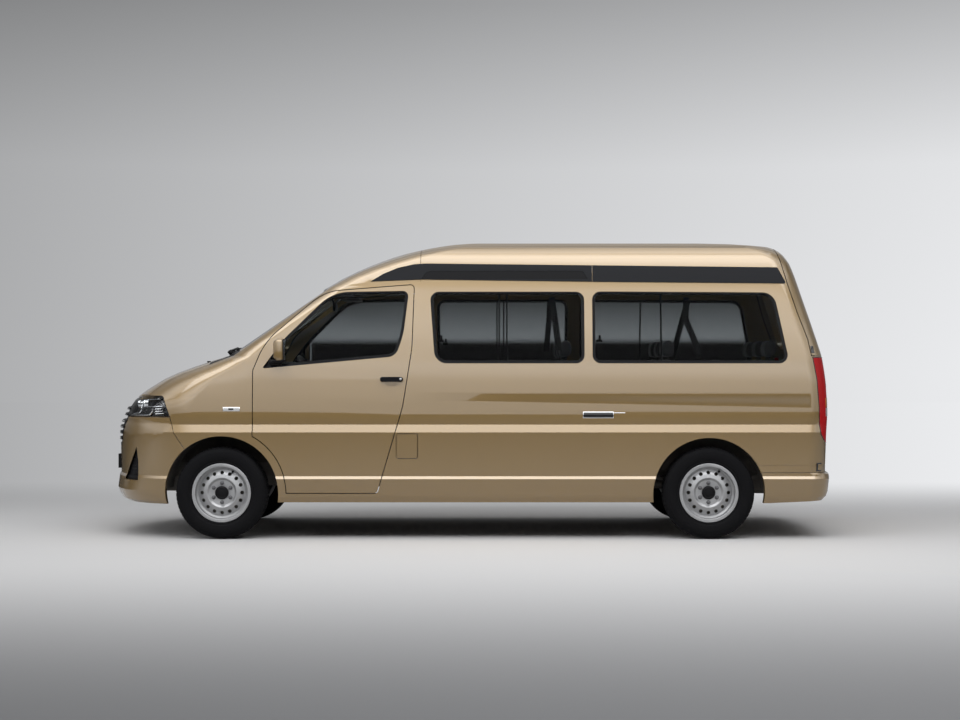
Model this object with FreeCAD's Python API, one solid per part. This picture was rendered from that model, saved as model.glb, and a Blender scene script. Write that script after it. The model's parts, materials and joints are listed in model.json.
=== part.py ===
"""A long-wheelbase minibus, modelled the way the real one is put together.

All sizes are millimetres. X runs from the nose to the tail, Y from the left side to the right
side and Z upwards. The origin is on the ground under the middle of the vehicle, so the nose is
at negative X and the driver's side, the left, is at negative Y.

The body starts as two closed forms, the outer surface and the cabin inside it. Both are stacks of
plan outlines made of lines and arcs. The wall between them is then divided along the real seams
into doors, fenders, roof, bumpers and lamps.
"""

import math
import os

import FreeCAD
import Part

# ---------------------------------------------------------------- driving dimensions
LENGTH = 5225.0
WIDTH = 1800.0
HEIGHT = 2120.0
FRONT_OVERHANG = 873.0
REAR_OVERHANG = 922.0
TRACK = 1565.0
TYRE_RADIUS = 325.0
TYRE_WIDTH = 195.0
RIM_RADIUS = 208.0
RIM_HALF = TYRE_WIDTH / 2 - 12

SILL_FOOT = 243.0            # lowest edge of the body, on the front bumper
SILL_EDGE = 257.0            # lowest edge of the sides
BELT = 1290.0                # height of the scuttle, where the glass begins
WALL = 65.0                  # body wall, outer skin to inner trim
GLASS_DEPTH = 6.0            # how far the glass lies below the outer skin
GLASS = 6.0                  # thickness of a pane
SEAL_DEPTH = 40.0            # how far the seals lie below the outer skin
SEAM = 6.0                   # gap round a door
PANEL_SEAM = 4.0             # gap round a fixed panel
LAMP_SEAM = 2.0              # gap round a headlamp
REBATE_DEPTH = 18.0          # a door's skin is so thick where its edge is stepped
REBATE = 12.0                # how far its inner part stands back at the rear edge
TRIM = 5.0                   # thickness of a trim strip on the skin
FRONT_ARCH = 400.0
REAR_ARCH = 393.0
REAR_ARCH_HEIGHT = 320.0     # height of the rear arch's centre
RECESS = 16.0                # depth of the recesses in the bumper and the grille
LINER = 12.0                 # thickness of a wheel-arch liner
LINER_INNER = 470.0          # half the distance between the front liners' inner ends
FLOOR = 40.0

FRONT_AXLE = -LENGTH / 2 + FRONT_OVERHANG
REAR_AXLE = LENGTH / 2 - REAR_OVERHANG
HALF = WIDTH / 2

DESIGN_HALF = 900.0
DESIGN_HEIGHT = 2120.0

# Plan outlines of the outer surface, from the sill up. Columns: height, nose ahead of the front
# axle, half width, front corner radius, nose radius, tail behind the rear axle, rear corner
# radius, tail radius.
SECTIONS = [
    (243, 800, 838, 560, 1300, 840, 140, 5000),
    (262, 838, 846, 570, 1300, 868, 140, 5000),
    (296, 858, 862, 580, 1300, 902, 150, 5000),
    (334, 873, 871, 590, 1300, 914, 150, 5000),
    (424, 861, 893, 600, 1300, 922, 150, 5000),
    (443, 850, 884, 600, 1300, 921, 150, 5000),
    (455, 850, 884.6, 600, 1300, 918, 150, 5000),
    (468, 850, 885.3, 600, 1300, 893, 150, 5000),
    (752, 856, 900, 600, 1300, 903, 150, 5000),
    (806, 846, 883, 590, 1320, 907, 150, 5000),
    (838, 816, 884.5, 580, 1700, 909, 150, 5000),
    (870, 804, 886, 570, 1900, 910, 150, 5000),
    (920, 781, 885, 545, 2050, 910, 150, 5000),
    (975, 733, 884, 510, 2300, 908, 150, 5000),
    (1035, 652, 882, 475, 2500, 904, 150, 5000),
    (1080, 580, 880, 445, 2700, 902, 150, 5000),
    (1125, 503, 878, 420, 2850, 897, 150, 5000),
    (1170, 405, 875, 385, 2840, 891, 150, 5000),
    (1215, 282, 872, 330, 2720, 884, 150, 5000),
    (1255, 160, 869, 250, 2640, 877, 150, 5000),
    (1290, 44, 865.5, 180, 2700, 871, 150, 4960),
    (1400, -116, 854, 135, 2750, 836, 150, 4930),
    (1530, -305, 837, 120, 2850, 793, 150, 4900),
    (1660, -494, 816, 120, 2950, 749, 150, 4860),
    (1781, -670, 793, 125, 2950, 709, 150, 4800),
    (1850, -784, 778, 150, 2600, 686, 150, 4780),
    (1905, -891, 766, 180, 2250, 667, 155, 4600),
    (1948, -986, 756, 210, 1950, 650, 160, 4500),
    (1980, -1064, 748, 235, 1720, 638, 170, 3700),
    (2012, -1150, 736, 255, 1500, 625, 180, 3000),
    (2038, -1232, 717, 275, 1320, 609, 205, 2400),
    (2060, -1318, 689, 285, 1150, 590, 230, 1900),
    (2078, -1394, 636, 300, 950, 560, 260, 1400),
    (2092, -1465, 537, 280, 850, 485, 260, 1000),
    (2106, -1540, 424, 230, 620, 375, 230, 640),
    (2120, -1648, 268, 150, 380, 155, 150, 380),
]
# The cabin needs fewer outlines: the rows of these heights.
CABIN_HEIGHTS = (243, 424, 468, 752, 870, 1035, 1170, 1290, 1530, 1781, 1948, 2012, 2060, 2092, 2120)

# Further places, measured behind the front axle or the rear axle.
SLIDING_FRONT = 1395.0
SLIDING_BACK = -845.0
FUEL_FLAP_FRONT = 1228.0
FUEL_FLAP = 156.0            # the flap's length
FUEL_LID = 14.0              # its thickness
FUEL_POCKET = 48.0           # depth of the filler pocket
FLAP_GAP = 5.5
FLAP_HEIGHT = 655.0
SAIL_BACK = 400.0
DOOR_REACH = 560.0           # the doors lie outside this half width
MIRROR_HEIGHT = 1327.0
HANDLE_HEIGHT = 1124.0
HANDLE_CUP = 14.0            # depth of the finger recess under a door handle
ROOF_SEAM = 1397.0
TRIM_JOINT = 2612.0
TRIM_FRONT = [(1045, 1817, 0), (1137, 1872, 60), (1237, 1914, 60), (1353, 1940, 60),
              (1437, 1945, 0)]
TRIM_REAR = [(498, 1918, 10), (557, 1803, 10), (-796, 1815, 0), (-2025, 1831, 0), (-2177, 1825, 0)]
FIREWALL = 145.0
FLOOR_TOP = 560.0
DOOR_FLOOR_HALF = 815.0
DRIVER = 400.0
WHEEL_BEHIND = 615.0
WHEEL_HEIGHT = 1130.0
COLUMN_RAKE = 37.0
STEER_RADIUS = 190.0
HUB_DEPTH = 50.0             # the steering wheel's hub, along the column
ROW_PITCH = 740.0
CUSHION = 460.0              # a seat cushion's length
BACK_LEAN = 130.0            # how far a backrest leans over its height
SOFT_GAP = 0.3
RAIL_Y = 420.0
RAIL = 80.0
RAIL_TOP = FLOOR_TOP - FLOOR
RAIL_AHEAD = 640.0           # how far the rails reach ahead of the front axle
RAIL_BEHIND = 785.0          # and behind the rear axle
CROSS_FOOT = RAIL_TOP - 40
CROSS_MEMBERS = [FRONT_AXLE + 435, FRONT_AXLE + 1235, REAR_AXLE - 1495, REAR_AXLE - 795,
                 REAR_AXLE + 355]
SUBFRAME_TOP = 300.0
GEARBOX_BACK = 700.0
REAR_LINER_INNER = 655.0
KINGPIN = TRACK / 2 - 75
BALL_DROP = 128.0
BALL_HALF = 13.0             # half the height of a ball joint
DISC_BACK = 41.0             # the wheel disc's inner face, outside the wheel's middle
HUB_FACE = DISC_BACK - SOFT_GAP
SPRING_HALF = 620.0
SPRING_RISE = 85.0
SPRING_Y = 530.0
SPARE_X = REAR_AXLE + 495
PIPE = 26.0                  # radius of the exhaust pipe
ELBOW = 28.0                 # radius of its bends
SILENCER = 74.0
PIPE_INSET = 35.0            # how far the exhaust ends inside the body's side
BEAD_CORNER = 5.0            # the tyre's edges are rounder than the corners they sit in
HOLES = 16
HOLE_CIRCLE = RIM_RADIUS - 67
BRAKE_RADIUS = RIM_RADIUS - 68
HOLE_RADIUS = 13.0

# ---------------------------------------------------------------- small helpers


def vec(x, y, z):
    return FreeCAD.Vector(x, y, z)


def behind_front(distance):
    """X of a place so far behind the front axle."""
    return FRONT_AXLE + distance


def behind_rear(distance):
    """X of a place so far behind the rear axle."""
    return REAR_AXLE + distance


def lifted(height):
    """A height of the design, with everything above the belt stretched to the real height."""
    if height <= BELT:
        return height
    return BELT + (height - BELT) * (HEIGHT - BELT) / (DESIGN_HEIGHT - BELT)


def box(x0, x1, y0, y1, z0, z1):
    return Part.makeBox(x1 - x0, y1 - y0, z1 - z0, vec(x0, y0, z0))


def rod(radius, start, finish):
    axis = vec(*finish) - vec(*start)
    return Part.makeCylinder(radius, axis.Length, vec(*start), axis)


def mirrored(shape):
    """The same piece on the other side of the vehicle."""
    return shape.mirror(vec(0, 0, 0), vec(0, 1, 0))


def corner_points(before, here, after):
    """Start, middle and end of the arc that rounds one corner, or the bare corner."""
    point = vec(here[0], here[1], 0)
    radius = here[2]
    if radius <= 0:
        return point, None, point
    back = (vec(before[0], before[1], 0) - point).normalize()
    ahead = (vec(after[0], after[1], 0) - point).normalize()
    half_angle = back.getAngle(ahead) / 2
    reach = radius / math.tan(half_angle)
    inward = (back + ahead).normalize()
    middle = point + inward * (radius / math.sin(half_angle) - radius)
    return point + back * reach, middle, point + ahead * reach


def rounded(corners, place):
    """A closed wire through (a, b, radius) corners; place turns a flat point into a real one."""
    count = len(corners)
    arcs = [
        corner_points(corners[i - 1], corners[i], corners[(i + 1) % count])
        for i in range(count)
    ]
    edges = []
    for i, (start, middle, finish) in enumerate(arcs):
        if middle is not None:
            edges.append(Part.Arc(place(start), place(middle), place(finish)).toShape())
        following = arcs[(i + 1) % count][0]
        if (following - finish).Length > 0.01:
            edges.append(Part.makeLine(place(finish), place(following)))
    return Part.Wire(edges)


def side_face(corners):
    """A face in the side view from (x, z, radius) corners."""
    return Part.Face(rounded(corners, lambda p: vec(p.x, 0, p.y)))


def side_prism(corners, y0, y1):
    face = side_face(corners)
    face.translate(vec(0, y0, 0))
    return face.extrude(vec(0, y1 - y0, 0))


def front_prism(corners, x0, x1):
    """A prism along X from (y, z, radius) corners."""
    face = Part.Face(rounded(corners, lambda p: vec(x0, p.x, p.y)))
    return face.extrude(vec(x1 - x0, 0, 0))


def grown(face, distance):
    """A side-view face made larger, or smaller where the distance is negative."""
    return face.makeOffset2D(distance)


def through(face, y0, y1):
    """A side-view face as a prism between two widths."""
    moved = face.copy()
    moved.translate(vec(0, y0, 0))
    return moved.extrude(vec(0, y1 - y0, 0))


def joined(shapes):
    return shapes[0].multiFuse(shapes[1:]) if len(shapes) > 1 else shapes[0]


def solids_of(shape, smallest=2000.0):
    """The solids of a result, without slivers."""
    return [s for s in shape.Solids if s.Volume > smallest]


# ---------------------------------------------------------------- the body's two forms


def outline(section, wall):
    """One plan outline, drawn in by a wall: nose arc, corner arcs, straight sides, tail arc."""
    height, ahead, half, corner, nose, behind, rear_corner, tail = section
    across = HALF / DESIGN_HALF
    rise = (HEIGHT - SILL_FOOT - wall) / (HEIGHT - SILL_FOOT)
    z = SILL_FOOT + (lifted(height) - SILL_FOOT) * rise
    if wall > 0 and height == SECTIONS[0][0]:
        z -= WALL
    w = half * across - wall
    front = FRONT_AXLE - ahead + wall
    back = REAR_AXLE + behind - wall
    rc = max(corner * across - wall, 40)
    rn = nose * across - wall
    rr = max(rear_corner * across - wall, 40)
    rt = tail * across - wall
    nose_x = front + rn
    corner_x = nose_x - math.sqrt((rn - rc) ** 2 - (w - rc) ** 2)
    tail_x = back - rt
    rear_x = tail_x + math.sqrt((rt - rr) ** 2 - (w - rr) ** 2)
    nose_turn = math.atan2(w - rc, corner_x - nose_x)
    tail_turn = math.atan2(w - rr, rear_x - tail_x)

    def on(cx, cy, radius, angle, side):
        return vec(cx + radius * math.cos(angle), side * (cy + radius * math.sin(angle)), z)

    def half_outline(side):
        nose_end = on(nose_x, 0, rn, nose_turn, side)
        front_mid = on(corner_x, w - rc, rc, (math.pi / 2 + nose_turn) / 2, side)
        rear_mid = on(rear_x, w - rr, rr, (math.pi / 2 + tail_turn) / 2, side)
        tail_end = on(tail_x, 0, rt, tail_turn, side)
        return nose_end, front_mid, vec(corner_x, side * w, z), vec(rear_x, side * w, z), \
            rear_mid, tail_end

    right = half_outline(1)
    left = half_outline(-1)
    return Part.Wire([
        Part.Arc(left[0], vec(front, 0, z), right[0]).toShape(),
        Part.Arc(right[0], right[1], right[2]).toShape(),
        Part.makeLine(right[2], right[3]),
        Part.Arc(right[3], right[4], right[5]).toShape(),
        Part.Arc(right[5], vec(back, 0, z), left[5]).toShape(),
        Part.Arc(left[5], left[4], left[3]).toShape(),
        Part.makeLine(left[3], left[2]),
        Part.Arc(left[2], left[1], left[0]).toShape(),
    ])


def band_face(lower, upper):
    """The face between matching edges of two outlines: a true plane between straight ones."""
    if lower.Curve.TypeId != "Part::GeomLine":
        return Part.makeRuledSurface(lower, upper)
    start, finish = [v.Point for v in lower.Vertexes]
    over_start, over_finish = [v.Point for v in upper.Vertexes]
    return Part.Face(Part.makePolygon([start, finish, over_finish, over_start, start]))


def body_form(wall, heights=None):
    """A closed form through the plan outlines, drawn in by a wall."""
    sections = [row for row in SECTIONS if heights is None or row[0] in heights]
    outlines = [outline(section, wall) for section in sections]
    faces = [Part.Face(outlines[0]), Part.Face(outlines[-1])]
    for lower, upper in zip(outlines, outlines[1:]):
        faces += [band_face(low, high) for low, high in zip(lower.Edges, upper.Edges)]
    shell = Part.makeShell(faces)
    shell.sewShape()
    return Part.makeSolid(shell)


def half_width(height):
    """Half the body's width at a height, on the straight side."""
    across = HALF / DESIGN_HALF
    for lower, upper in zip(SECTIONS, SECTIONS[1:]):
        z0 = lifted(lower[0])
        z1 = lifted(upper[0])
        if z0 <= height <= z1:
            share = (height - z0) / (z1 - z0)
            return across * (lower[2] + (upper[2] - lower[2]) * share)
    return across * SECTIONS[-1][2]


# ---------------------------------------------------------------- seams in the side view


def front_points(table):
    """Corners given behind the front axle, as x, z, radius."""
    return [(behind_front(x), lifted(z), r) for x, z, r in table]


def rear_points(table):
    """Corners given behind the rear axle, as x, z, radius."""
    return [(behind_rear(x), lifted(z), r) for x, z, r in table]


# Columns of every outline below: distance behind the axle, height, corner radius.
DOOR = [
    (220, 322, 0), (220, 1185, 60), (305, 1390, 500), (715, 1745, 350),
    (1355, 1795, 28), (1340, 1345, 700), (1275, 930, 700), (1095, 322, 25),
]
DOOR_ARCH = 455.0            # the door's lower front edge runs round the wheel at this radius
DOOR_WINDOW = [
    (285, 1200, 8), (445, 1415, 350), (775, 1740, 300),
    (1317, 1750, 40), (1280, 1440, 600), (1225, 1285, 85),
]
MIDDLE_WINDOW_FRONT = 1464.0  # behind the front axle
MIDDLE_WINDOW_BACK = -875.0   # behind the rear axle
REAR_WINDOW = [(-819, 1236, 60), (-819, 1745, 60), (465, 1738, 100), (567, 1236, 60)]
WINDOW_SILL = 1236.0
WINDOW_HEAD = 1743.0
TAILGATE_SIDE = [(502, 2300, 0), (502, 2045, 0), (567, 1798, 0), (630, 1594, 0),
                 (699, 1408, 0), (723, 1290, 0), (1400, 1290, 0), (1400, 2300, 0)]
TAILGATE_HALF = 690.0
TAILGATE_FOOT = 530.0
TAIL_LAMP = [(728, 1283, 0), (757, 1119, 0), (771, 929, 0), (773, 800, 0), (785, 735, 60),
             (825, 672, 0), (1400, 672, 0), (1400, 1283, 0)]
BUMPER_SEAM = [(-1400, 100, 0), (-200, 100, 0), (-200, 560, 0), (-271, 658, 0),
               (-332, 748, 0), (-363, 858, 0), (-1400, 858, 0)]
HEADLAMP = [(-1400, 858, 0), (-362, 858, 0), (-420, 1008, 25), (-1400, 1008, 0)]
FENDER_SEAM = [(217, 0), (217, 1190), (170, 1240), (100, 1325)]
FOG_RECESS = [(-740, 404, 0), (-614, 404, 0), (-614, 545, 0), (-629, 642, 0)]
FOG_INNER = 470.0
REAR_BUMPER_TOP = 470.0
REAR_BUMPER_FOOT = [(300, 251), (430, 251), (760, 266), (1400, 266)]
BODY_GROOVE = 517.0          # height of the crease above the rear bumper
LAMP_INNER = 560.0
GRILLE_FOOT = 640.0
GRILLE_TOP = 1010.0
GRILLE_FRAME = 16.0
SLATS = (690, 733, 776, 819, 868, 911)
SLAT = 15.0                  # height of a slat
BONNET_NOSE = 697.0          # the bonnet's front edge ahead of the front axle, in the middle
BONNET_NOSE_HEIGHT = 1000.0
BONNET_HALF = 690.0
PLATE_HOLES = 210.0          # spacing of the screws of a number plate
PLATE_HOLE_RADIUS = 3.0
PLATE_SCREW = 20.0           # depth of these holes
FRONT_PLATE = (855, 517)     # its face ahead of the front axle, and its height
HOLDER_HALF = 220.0          # the front holder's half width
HOLDER_RISE = 52.0           # and its half height
REAR_PLATE = 690.0           # height of the rear plate's screws
TAIL_AT_PLATE = 901.0        # how far the skin is behind the rear axle there
REAR_RECESS = [262, 55, 85]  # the rear recess: half width, then how far below and above the screws
PAD = 8.0                    # thickness of a jacking pad


def disc(radius, x, z):
    """A round face in the side view."""
    return Part.Face(Part.Wire([Part.makeCircle(radius, vec(x, 0, z), vec(0, 1, 0))]))


def door_face():
    """The front door's outline, with its lower corner cut round the wheel."""
    face = side_face(front_points(DOOR))
    cut = face.cut(disc(DOOR_ARCH, FRONT_AXLE, TYRE_RADIUS))
    return max(cut.Faces, key=lambda f: f.Area)


def middle_window_face():
    front = behind_front(MIDDLE_WINDOW_FRONT)
    back = behind_rear(MIDDLE_WINDOW_BACK)
    return side_face([
        (front + 38, lifted(WINDOW_SILL), 90), (front, lifted(WINDOW_HEAD), 60),
        (back, lifted(WINDOW_HEAD), 60), (back, lifted(WINDOW_SILL), 60),
    ])


def tailgate_zone(growth):
    """The space the tailgate fills: round the corners above the lamps, between them below."""
    upper_face = grown(side_face(rear_points(TAILGATE_SIDE)), growth)
    upper = through(upper_face, -HALF - 50, HALF + 50)
    half = TAILGATE_HALF + growth
    lower = box(behind_rear(700), behind_rear(1400), -half, half,
                TAILGATE_FOOT - growth, BELT + 100)
    return upper.fuse(lower)


def bonnet_zone(growth):
    """The space the bonnet fills: its front edge leans forward so that it can lift."""
    centre = behind_front(2435)
    rear = behind_front(-85) + growth
    lean = math.tan(math.radians(30))

    def edge(height):
        return behind_front(-BONNET_NOSE) - growth - (height - BONNET_NOSE_HEIGHT) * lean

    profile = [(edge(840), 840), (rear, 840), (rear, 1500), (edge(1500), 1500)]
    wire = Part.makePolygon([vec(x - centre, 0, z) for x, z in profile + profile[:1]])
    face = Part.Face(wire)
    face.rotate(vec(0, 0, 0), vec(0, 0, 1), -25)
    ring = face.revolve(vec(0, 0, 0), vec(0, 0, 1), 50)
    ring.translate(vec(centre, 0, 0))
    half = BONNET_HALF * HALF / DESIGN_HALF + growth
    slab = box(behind_front(-1400), behind_front(400), -half, half, 800, 1500)
    zone = ring.common(slab)
    for side in (1, -1):
        inner = side * (LAMP_INNER + growth)
        top = 1012 - growth
        corners = [(inner, 700, 0), (inner, top, 0), (side * 1000, top, 0), (side * 1000, 700, 0)]
        lamp = front_prism(corners, behind_front(-1400), behind_front(-350))
        zone = zone.cut(lamp)
    return zone


def windscreen_zone():
    """The opening for the windscreen, between the pillars and the scuttle and the roof."""
    foot = lifted(1325)
    head = lifted(1771)
    foot_half = half_width(foot) - 85
    head_half = half_width(head) - 80
    corners = [(-foot_half, foot, 60), (-head_half, head, 90), (head_half, head, 90),
               (foot_half, foot, 60)]
    return front_prism(corners, behind_front(-400), behind_front(1000))


# ---------------------------------------------------------------- body panels


class Body:
    """The forms that every panel is cut from, made once."""

    def __init__(self):
        self.outer = body_form(0)
        self.cabin = body_form(WALL, CABIN_HEIGHTS)
        self.wall = self.outer.cut(self.cabin)
        self.pane = body_form(GLASS_DEPTH).cut(body_form(GLASS_DEPTH + GLASS))
        self.skin = body_form(-TRIM).cut(self.outer)
        self.deep_wall = self.wall.common(body_form(SEAL_DEPTH))
        half = body_form(WALL / 2)
        self.core = self.wall.common(half)
        self.shell = self.wall.cut(half)
        self.under_paint = body_form(GLASS_DEPTH)
        self.rebated = body_form(REBATE_DEPTH)
        self.recessed = self.wall.common(body_form(RECESS))

    def seamed(self, zone, skin_zone):
        """A fixed panel that fills its place inside and has a seam round it in the skin."""
        return self.core.common(zone).fuse(self.shell.common(skin_zone))


def arches():
    """The two wheel openings, right through the body."""
    reach = WIDTH
    front = rod(FRONT_ARCH, (FRONT_AXLE, -reach, TYRE_RADIUS), (FRONT_AXLE, reach, TYRE_RADIUS))
    rear = rod(REAR_ARCH, (REAR_AXLE, -reach, REAR_ARCH_HEIGHT), (REAR_AXLE, reach, REAR_ARCH_HEIGHT))
    return front.fuse(rear)


def roof_zone():
    """Everything above the gutter line."""
    return side_prism([
        (behind_front(-900), lifted(1771), 0), (behind_front(751), lifted(1771), 0),
        (behind_front(1041), lifted(1815), 0), (behind_rear(1400), lifted(1815), 0),
        (behind_rear(1400), HEIGHT + 100, 0), (behind_front(-900), HEIGHT + 100, 0),
    ], -WIDTH, WIDTH)


def fender_seam():
    """The seam at the back of the front fender, from the sill up to the scuttle."""
    (low, _), (high, top), (turn, rise), (end, head) = FENDER_SEAM
    return [(behind_front(low), SILL_EDGE, 0), (behind_front(high), top, 0),
            (behind_front(turn), rise, 60), (behind_front(end), head, 0),
            (behind_front(-400), head, 0)]


def fender_back():
    """Everything behind the seam at the back of the front fender."""
    back = behind_rear(1400)
    above = [(behind_front(-400), HEIGHT, 0), (back, HEIGHT, 0), (back, SILL_EDGE, 0)]
    return side_prism(fender_seam() + above, -WIDTH, WIDTH)


def rear_bumper_zone(gap=0):
    """The space of the rear bumper, lower by a gap: high sides, and a middle up to the tailgate."""
    half = TAILGATE_HALF + SEAM / 2
    foot = [(behind_rear(x), z, 0) for x, z in REAR_BUMPER_FOOT]
    top = REAR_BUMPER_TOP - gap
    sides = side_prism(foot + [(behind_rear(1400), top, 0), (behind_rear(300), top, 0)], -WIDTH, WIDTH)
    middle = box(behind_rear(700), behind_rear(1400), -half, half, top, TAILGATE_FOOT - SEAM)
    return sides.fuse(middle)


def tail_lamp_zone(gap=0):
    half = TAILGATE_HALF + SEAM / 2
    prism = through(smaller(side_face(rear_points(TAIL_LAMP)), gap), -WIDTH, WIDTH)
    return prism.cut(box(behind_rear(600), behind_rear(1500), -half, half, 600, 1400))


def scuttle_zone():
    half = 770 * HALF / DESIGN_HALF
    return box(behind_front(-100), behind_front(400), -half, half, 1200, lifted(1325)).cut(
        bonnet_zone(SEAM / 2))


def smaller(face, gap):
    """A side-view face drawn in by a gap, or the face itself where there is none."""
    return grown(face, -gap) if gap else face


def headlamp_zone(gap=0):
    inner = box(behind_front(-1400), behind_front(0), -LAMP_INNER, LAMP_INNER, 700, 1100)
    return through(smaller(side_face(front_points(HEADLAMP)), gap), -WIDTH, WIDTH).cut(inner)


def front_bumper_zone(gap=0):
    return through(smaller(side_face(front_points(BUMPER_SEAM)), gap), -WIDTH, WIDTH)


def grille_zone(gap=0):
    """The space of the grille: as wide as the lamps allow at the top, narrower at its foot."""
    half = LAMP_INNER - gap
    foot = GRILLE_FOOT + gap
    shoulder = 850 + gap
    top = GRILLE_TOP - gap
    return front_prism([
        (-half, top, 0), (-half, shoulder, 0), (gap - 400, foot, 60),
        (400 - gap, foot, 60), (half, shoulder, 0), (half, top, 0),
    ], behind_front(-1400), behind_front(-500))


def grille(body, bonnet_open):
    """The grille: a recessed back, a frame round it and slats that stand a little proud."""
    zone = grille_zone()
    back = body.recessed.common(zone)
    frame = body.wall.common(zone.cut(grille_zone(GRILLE_FRAME)))
    rows = Part.makeCompound([
        box(behind_front(-1400), behind_front(-500), -LAMP_INNER, LAMP_INNER,
            z - SLAT / 2, z + SLAT / 2) for z in SLATS])
    bars = rows.common(zone)
    proud = body.skin.common(bars)
    shape = back.multiFuse([frame, body.wall.common(bars), proud]).cut(bonnet_open)
    return max(shape.Solids, key=lambda solid: solid.Volume)


def fog_recess():
    """The three-cornered recess at both ends of the front bumper."""
    prism = side_prism(front_points(FOG_RECESS), -WIDTH, WIDTH)
    return prism.cut(box(-LENGTH, 0, -FOG_INNER, FOG_INNER, 0, HEIGHT))


def plate_screws(start, end, height):
    """The two screw holes of a number plate."""
    return Part.makeCompound([rod(PLATE_HOLE_RADIUS, (start, y, height), (end, y, height))
                              for y in (-PLATE_HOLES / 2, PLATE_HOLES / 2)])


def plate_holder(body):
    """The flat carrier of the front number plate."""
    ahead, height = FRONT_PLATE
    face = behind_front(-ahead)
    return box(face, face + 150, -HOLDER_HALF, HOLDER_HALF,
               height - HOLDER_RISE, height + HOLDER_RISE).cut(body.outer)


def tailgate_window():
    foot = lifted(1345)
    head = lifted(1800)
    return front_prism([(-610, foot, 70), (-560, head, 80), (560, head, 80), (610, foot, 70)],
                       behind_rear(300), behind_rear(1400))


def sliding_door_face():
    """The sliding door's outline, on the right side only."""
    front = behind_front(SLIDING_FRONT)
    back = behind_rear(SLIDING_BACK)
    return side_face([(front, 322, 30), (front, lifted(1795), 40),
                      (back, lifted(1795), 40), (back, 322, 30)])


def fuel_face():
    front = behind_front(FUEL_FLAP_FRONT)
    return side_face([(front, 566, 18), (front, 745, 18),
                      (front + FUEL_FLAP, 745, 18), (front + FUEL_FLAP, 566, 18)])


def front_door(body, door):
    """The left front door: panel, pane, mirror and handle."""
    panel_zone = through(grown(door, -SEAM / 2), -WIDTH, -DOOR_REACH)
    stepped = panel_zone.copy()
    stepped.translate(vec(-REBATE, 0, 0))
    window = through(side_face(front_points(DOOR_WINDOW)), -WIDTH, -DOOR_REACH)
    sail = box(-LENGTH, behind_front(SAIL_BACK), -WIDTH, 0, 0, HEIGHT)
    behind_skin = panel_zone.cut(stepped).common(body.rebated)
    panel = body.wall.common(panel_zone).cut(window).cut(behind_skin)
    glass = body.pane.common(window)
    pane = glass.cut(sail)
    side = half_width(MIRROR_HEIGHT)
    housing_face = side_face([
        (behind_front(378), MIRROR_HEIGHT - 84, 38), (behind_front(457), MIRROR_HEIGHT - 84, 20),
        (behind_front(457), MIRROR_HEIGHT + 84, 20), (behind_front(378), MIRROR_HEIGHT + 84, 45)])
    housing = through(housing_face, -(side + 165), -(side + 32))
    arm = box(behind_front(345), behind_front(440), -(side + 40), -(side - 20),
              MIRROR_HEIGHT - 84, MIRROR_HEIGHT - 50)
    arm = arm.cut(body_form(GLASS_DEPTH))
    mirror = housing.multiFuse([arm, glass.common(sail)]).removeSplitter()
    grip = half_width(HANDLE_HEIGHT)
    bar = side_prism([
        (behind_front(1118), HANDLE_HEIGHT - 17, 14), (behind_front(1118), HANDLE_HEIGHT + 17, 14),
        (behind_front(1278), HANDLE_HEIGHT + 17, 14), (behind_front(1278), HANDLE_HEIGHT - 17, 14),
    ], -(grip + 34), -(grip + 18))
    feet = [box(behind_front(x), behind_front(x + 26), -(grip + 20), -(grip - 10),
                HANDLE_HEIGHT - 12, HANDLE_HEIGHT + 12) for x in (1124, 1246)]
    handle = bar.multiFuse([foot.cut(body.outer) for foot in feet])
    cup = side_prism([
        (behind_front(1154), HANDLE_HEIGHT - 50, 30), (behind_front(1154), HANDLE_HEIGHT + 12, 10),
        (behind_front(1242), HANDLE_HEIGHT + 12, 10), (behind_front(1242), HANDLE_HEIGHT - 50, 30),
    ], -WIDTH, HANDLE_CUP - grip)
    panel = panel.cut(cup)
    return {"": panel, "_glass": pane, "_mirror": mirror, "_handle": handle}


def roof_trims(body):
    """Dark strips along both sides of the roof, each in a front and a rear length."""
    corners = front_points(TRIM_FRONT) + rear_points(TRIM_REAR)
    zone = side_prism(corners, -WIDTH, WIDTH)
    joint = behind_front(TRIM_JOINT)
    gap = box(joint, joint + 3, -WIDTH, WIDTH, 1700, HEIGHT + 50)
    return body.skin.common(zone).cut(gap)


def side_region(openings):
    """One body side in the side view, behind the fender and under the roof, less its openings.

    Its front edge follows the fender seam, which curves up to the scuttle.
    """
    back = behind_rear(1400)
    region = side_face(fender_seam() + [
        (behind_front(-400), lifted(1771), 0), (behind_front(751), lifted(1771), 0),
        (behind_front(1041), lifted(1815), 0), (back, lifted(1815), 0),
        (back, REAR_BUMPER_TOP, 0), (behind_rear(300), REAR_BUMPER_TOP, 0),
        (behind_rear(300), SILL_EDGE, 0)])
    openings = openings + [
        grown(door_face(), SEAM / 2),
        disc(FRONT_ARCH, FRONT_AXLE, TYRE_RADIUS),
        disc(REAR_ARCH, REAR_AXLE, REAR_ARCH_HEIGHT),
        side_face(rear_points(REAR_WINDOW)),
        side_face(rear_points(TAIL_LAMP)),
        grown(side_face(rear_points(TAILGATE_SIDE)), SEAM / 2),
    ]
    for opening in openings:
        region = region.cut(opening)
    return max(region.Faces, key=lambda f: f.Area)


def body_side(body, openings, y0, y1):
    """One side of the body: its region cut from the wall, less what lies across the ends."""
    half = TAILGATE_HALF + SEAM / 2
    middle = box(behind_rear(700), behind_rear(1400), -half, half, 150, BELT + 100)
    side = body.wall.common(through(side_region(openings), y0, y1))
    crease = box(behind_rear(300), behind_rear(1400), y0, y1, BODY_GROOVE, BODY_GROOVE + PANEL_SEAM)
    crease = crease.cut(body.under_paint)
    return side.cut(windscreen_zone()).cut(scuttle_zone()).cut(middle).cut(crease)


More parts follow.
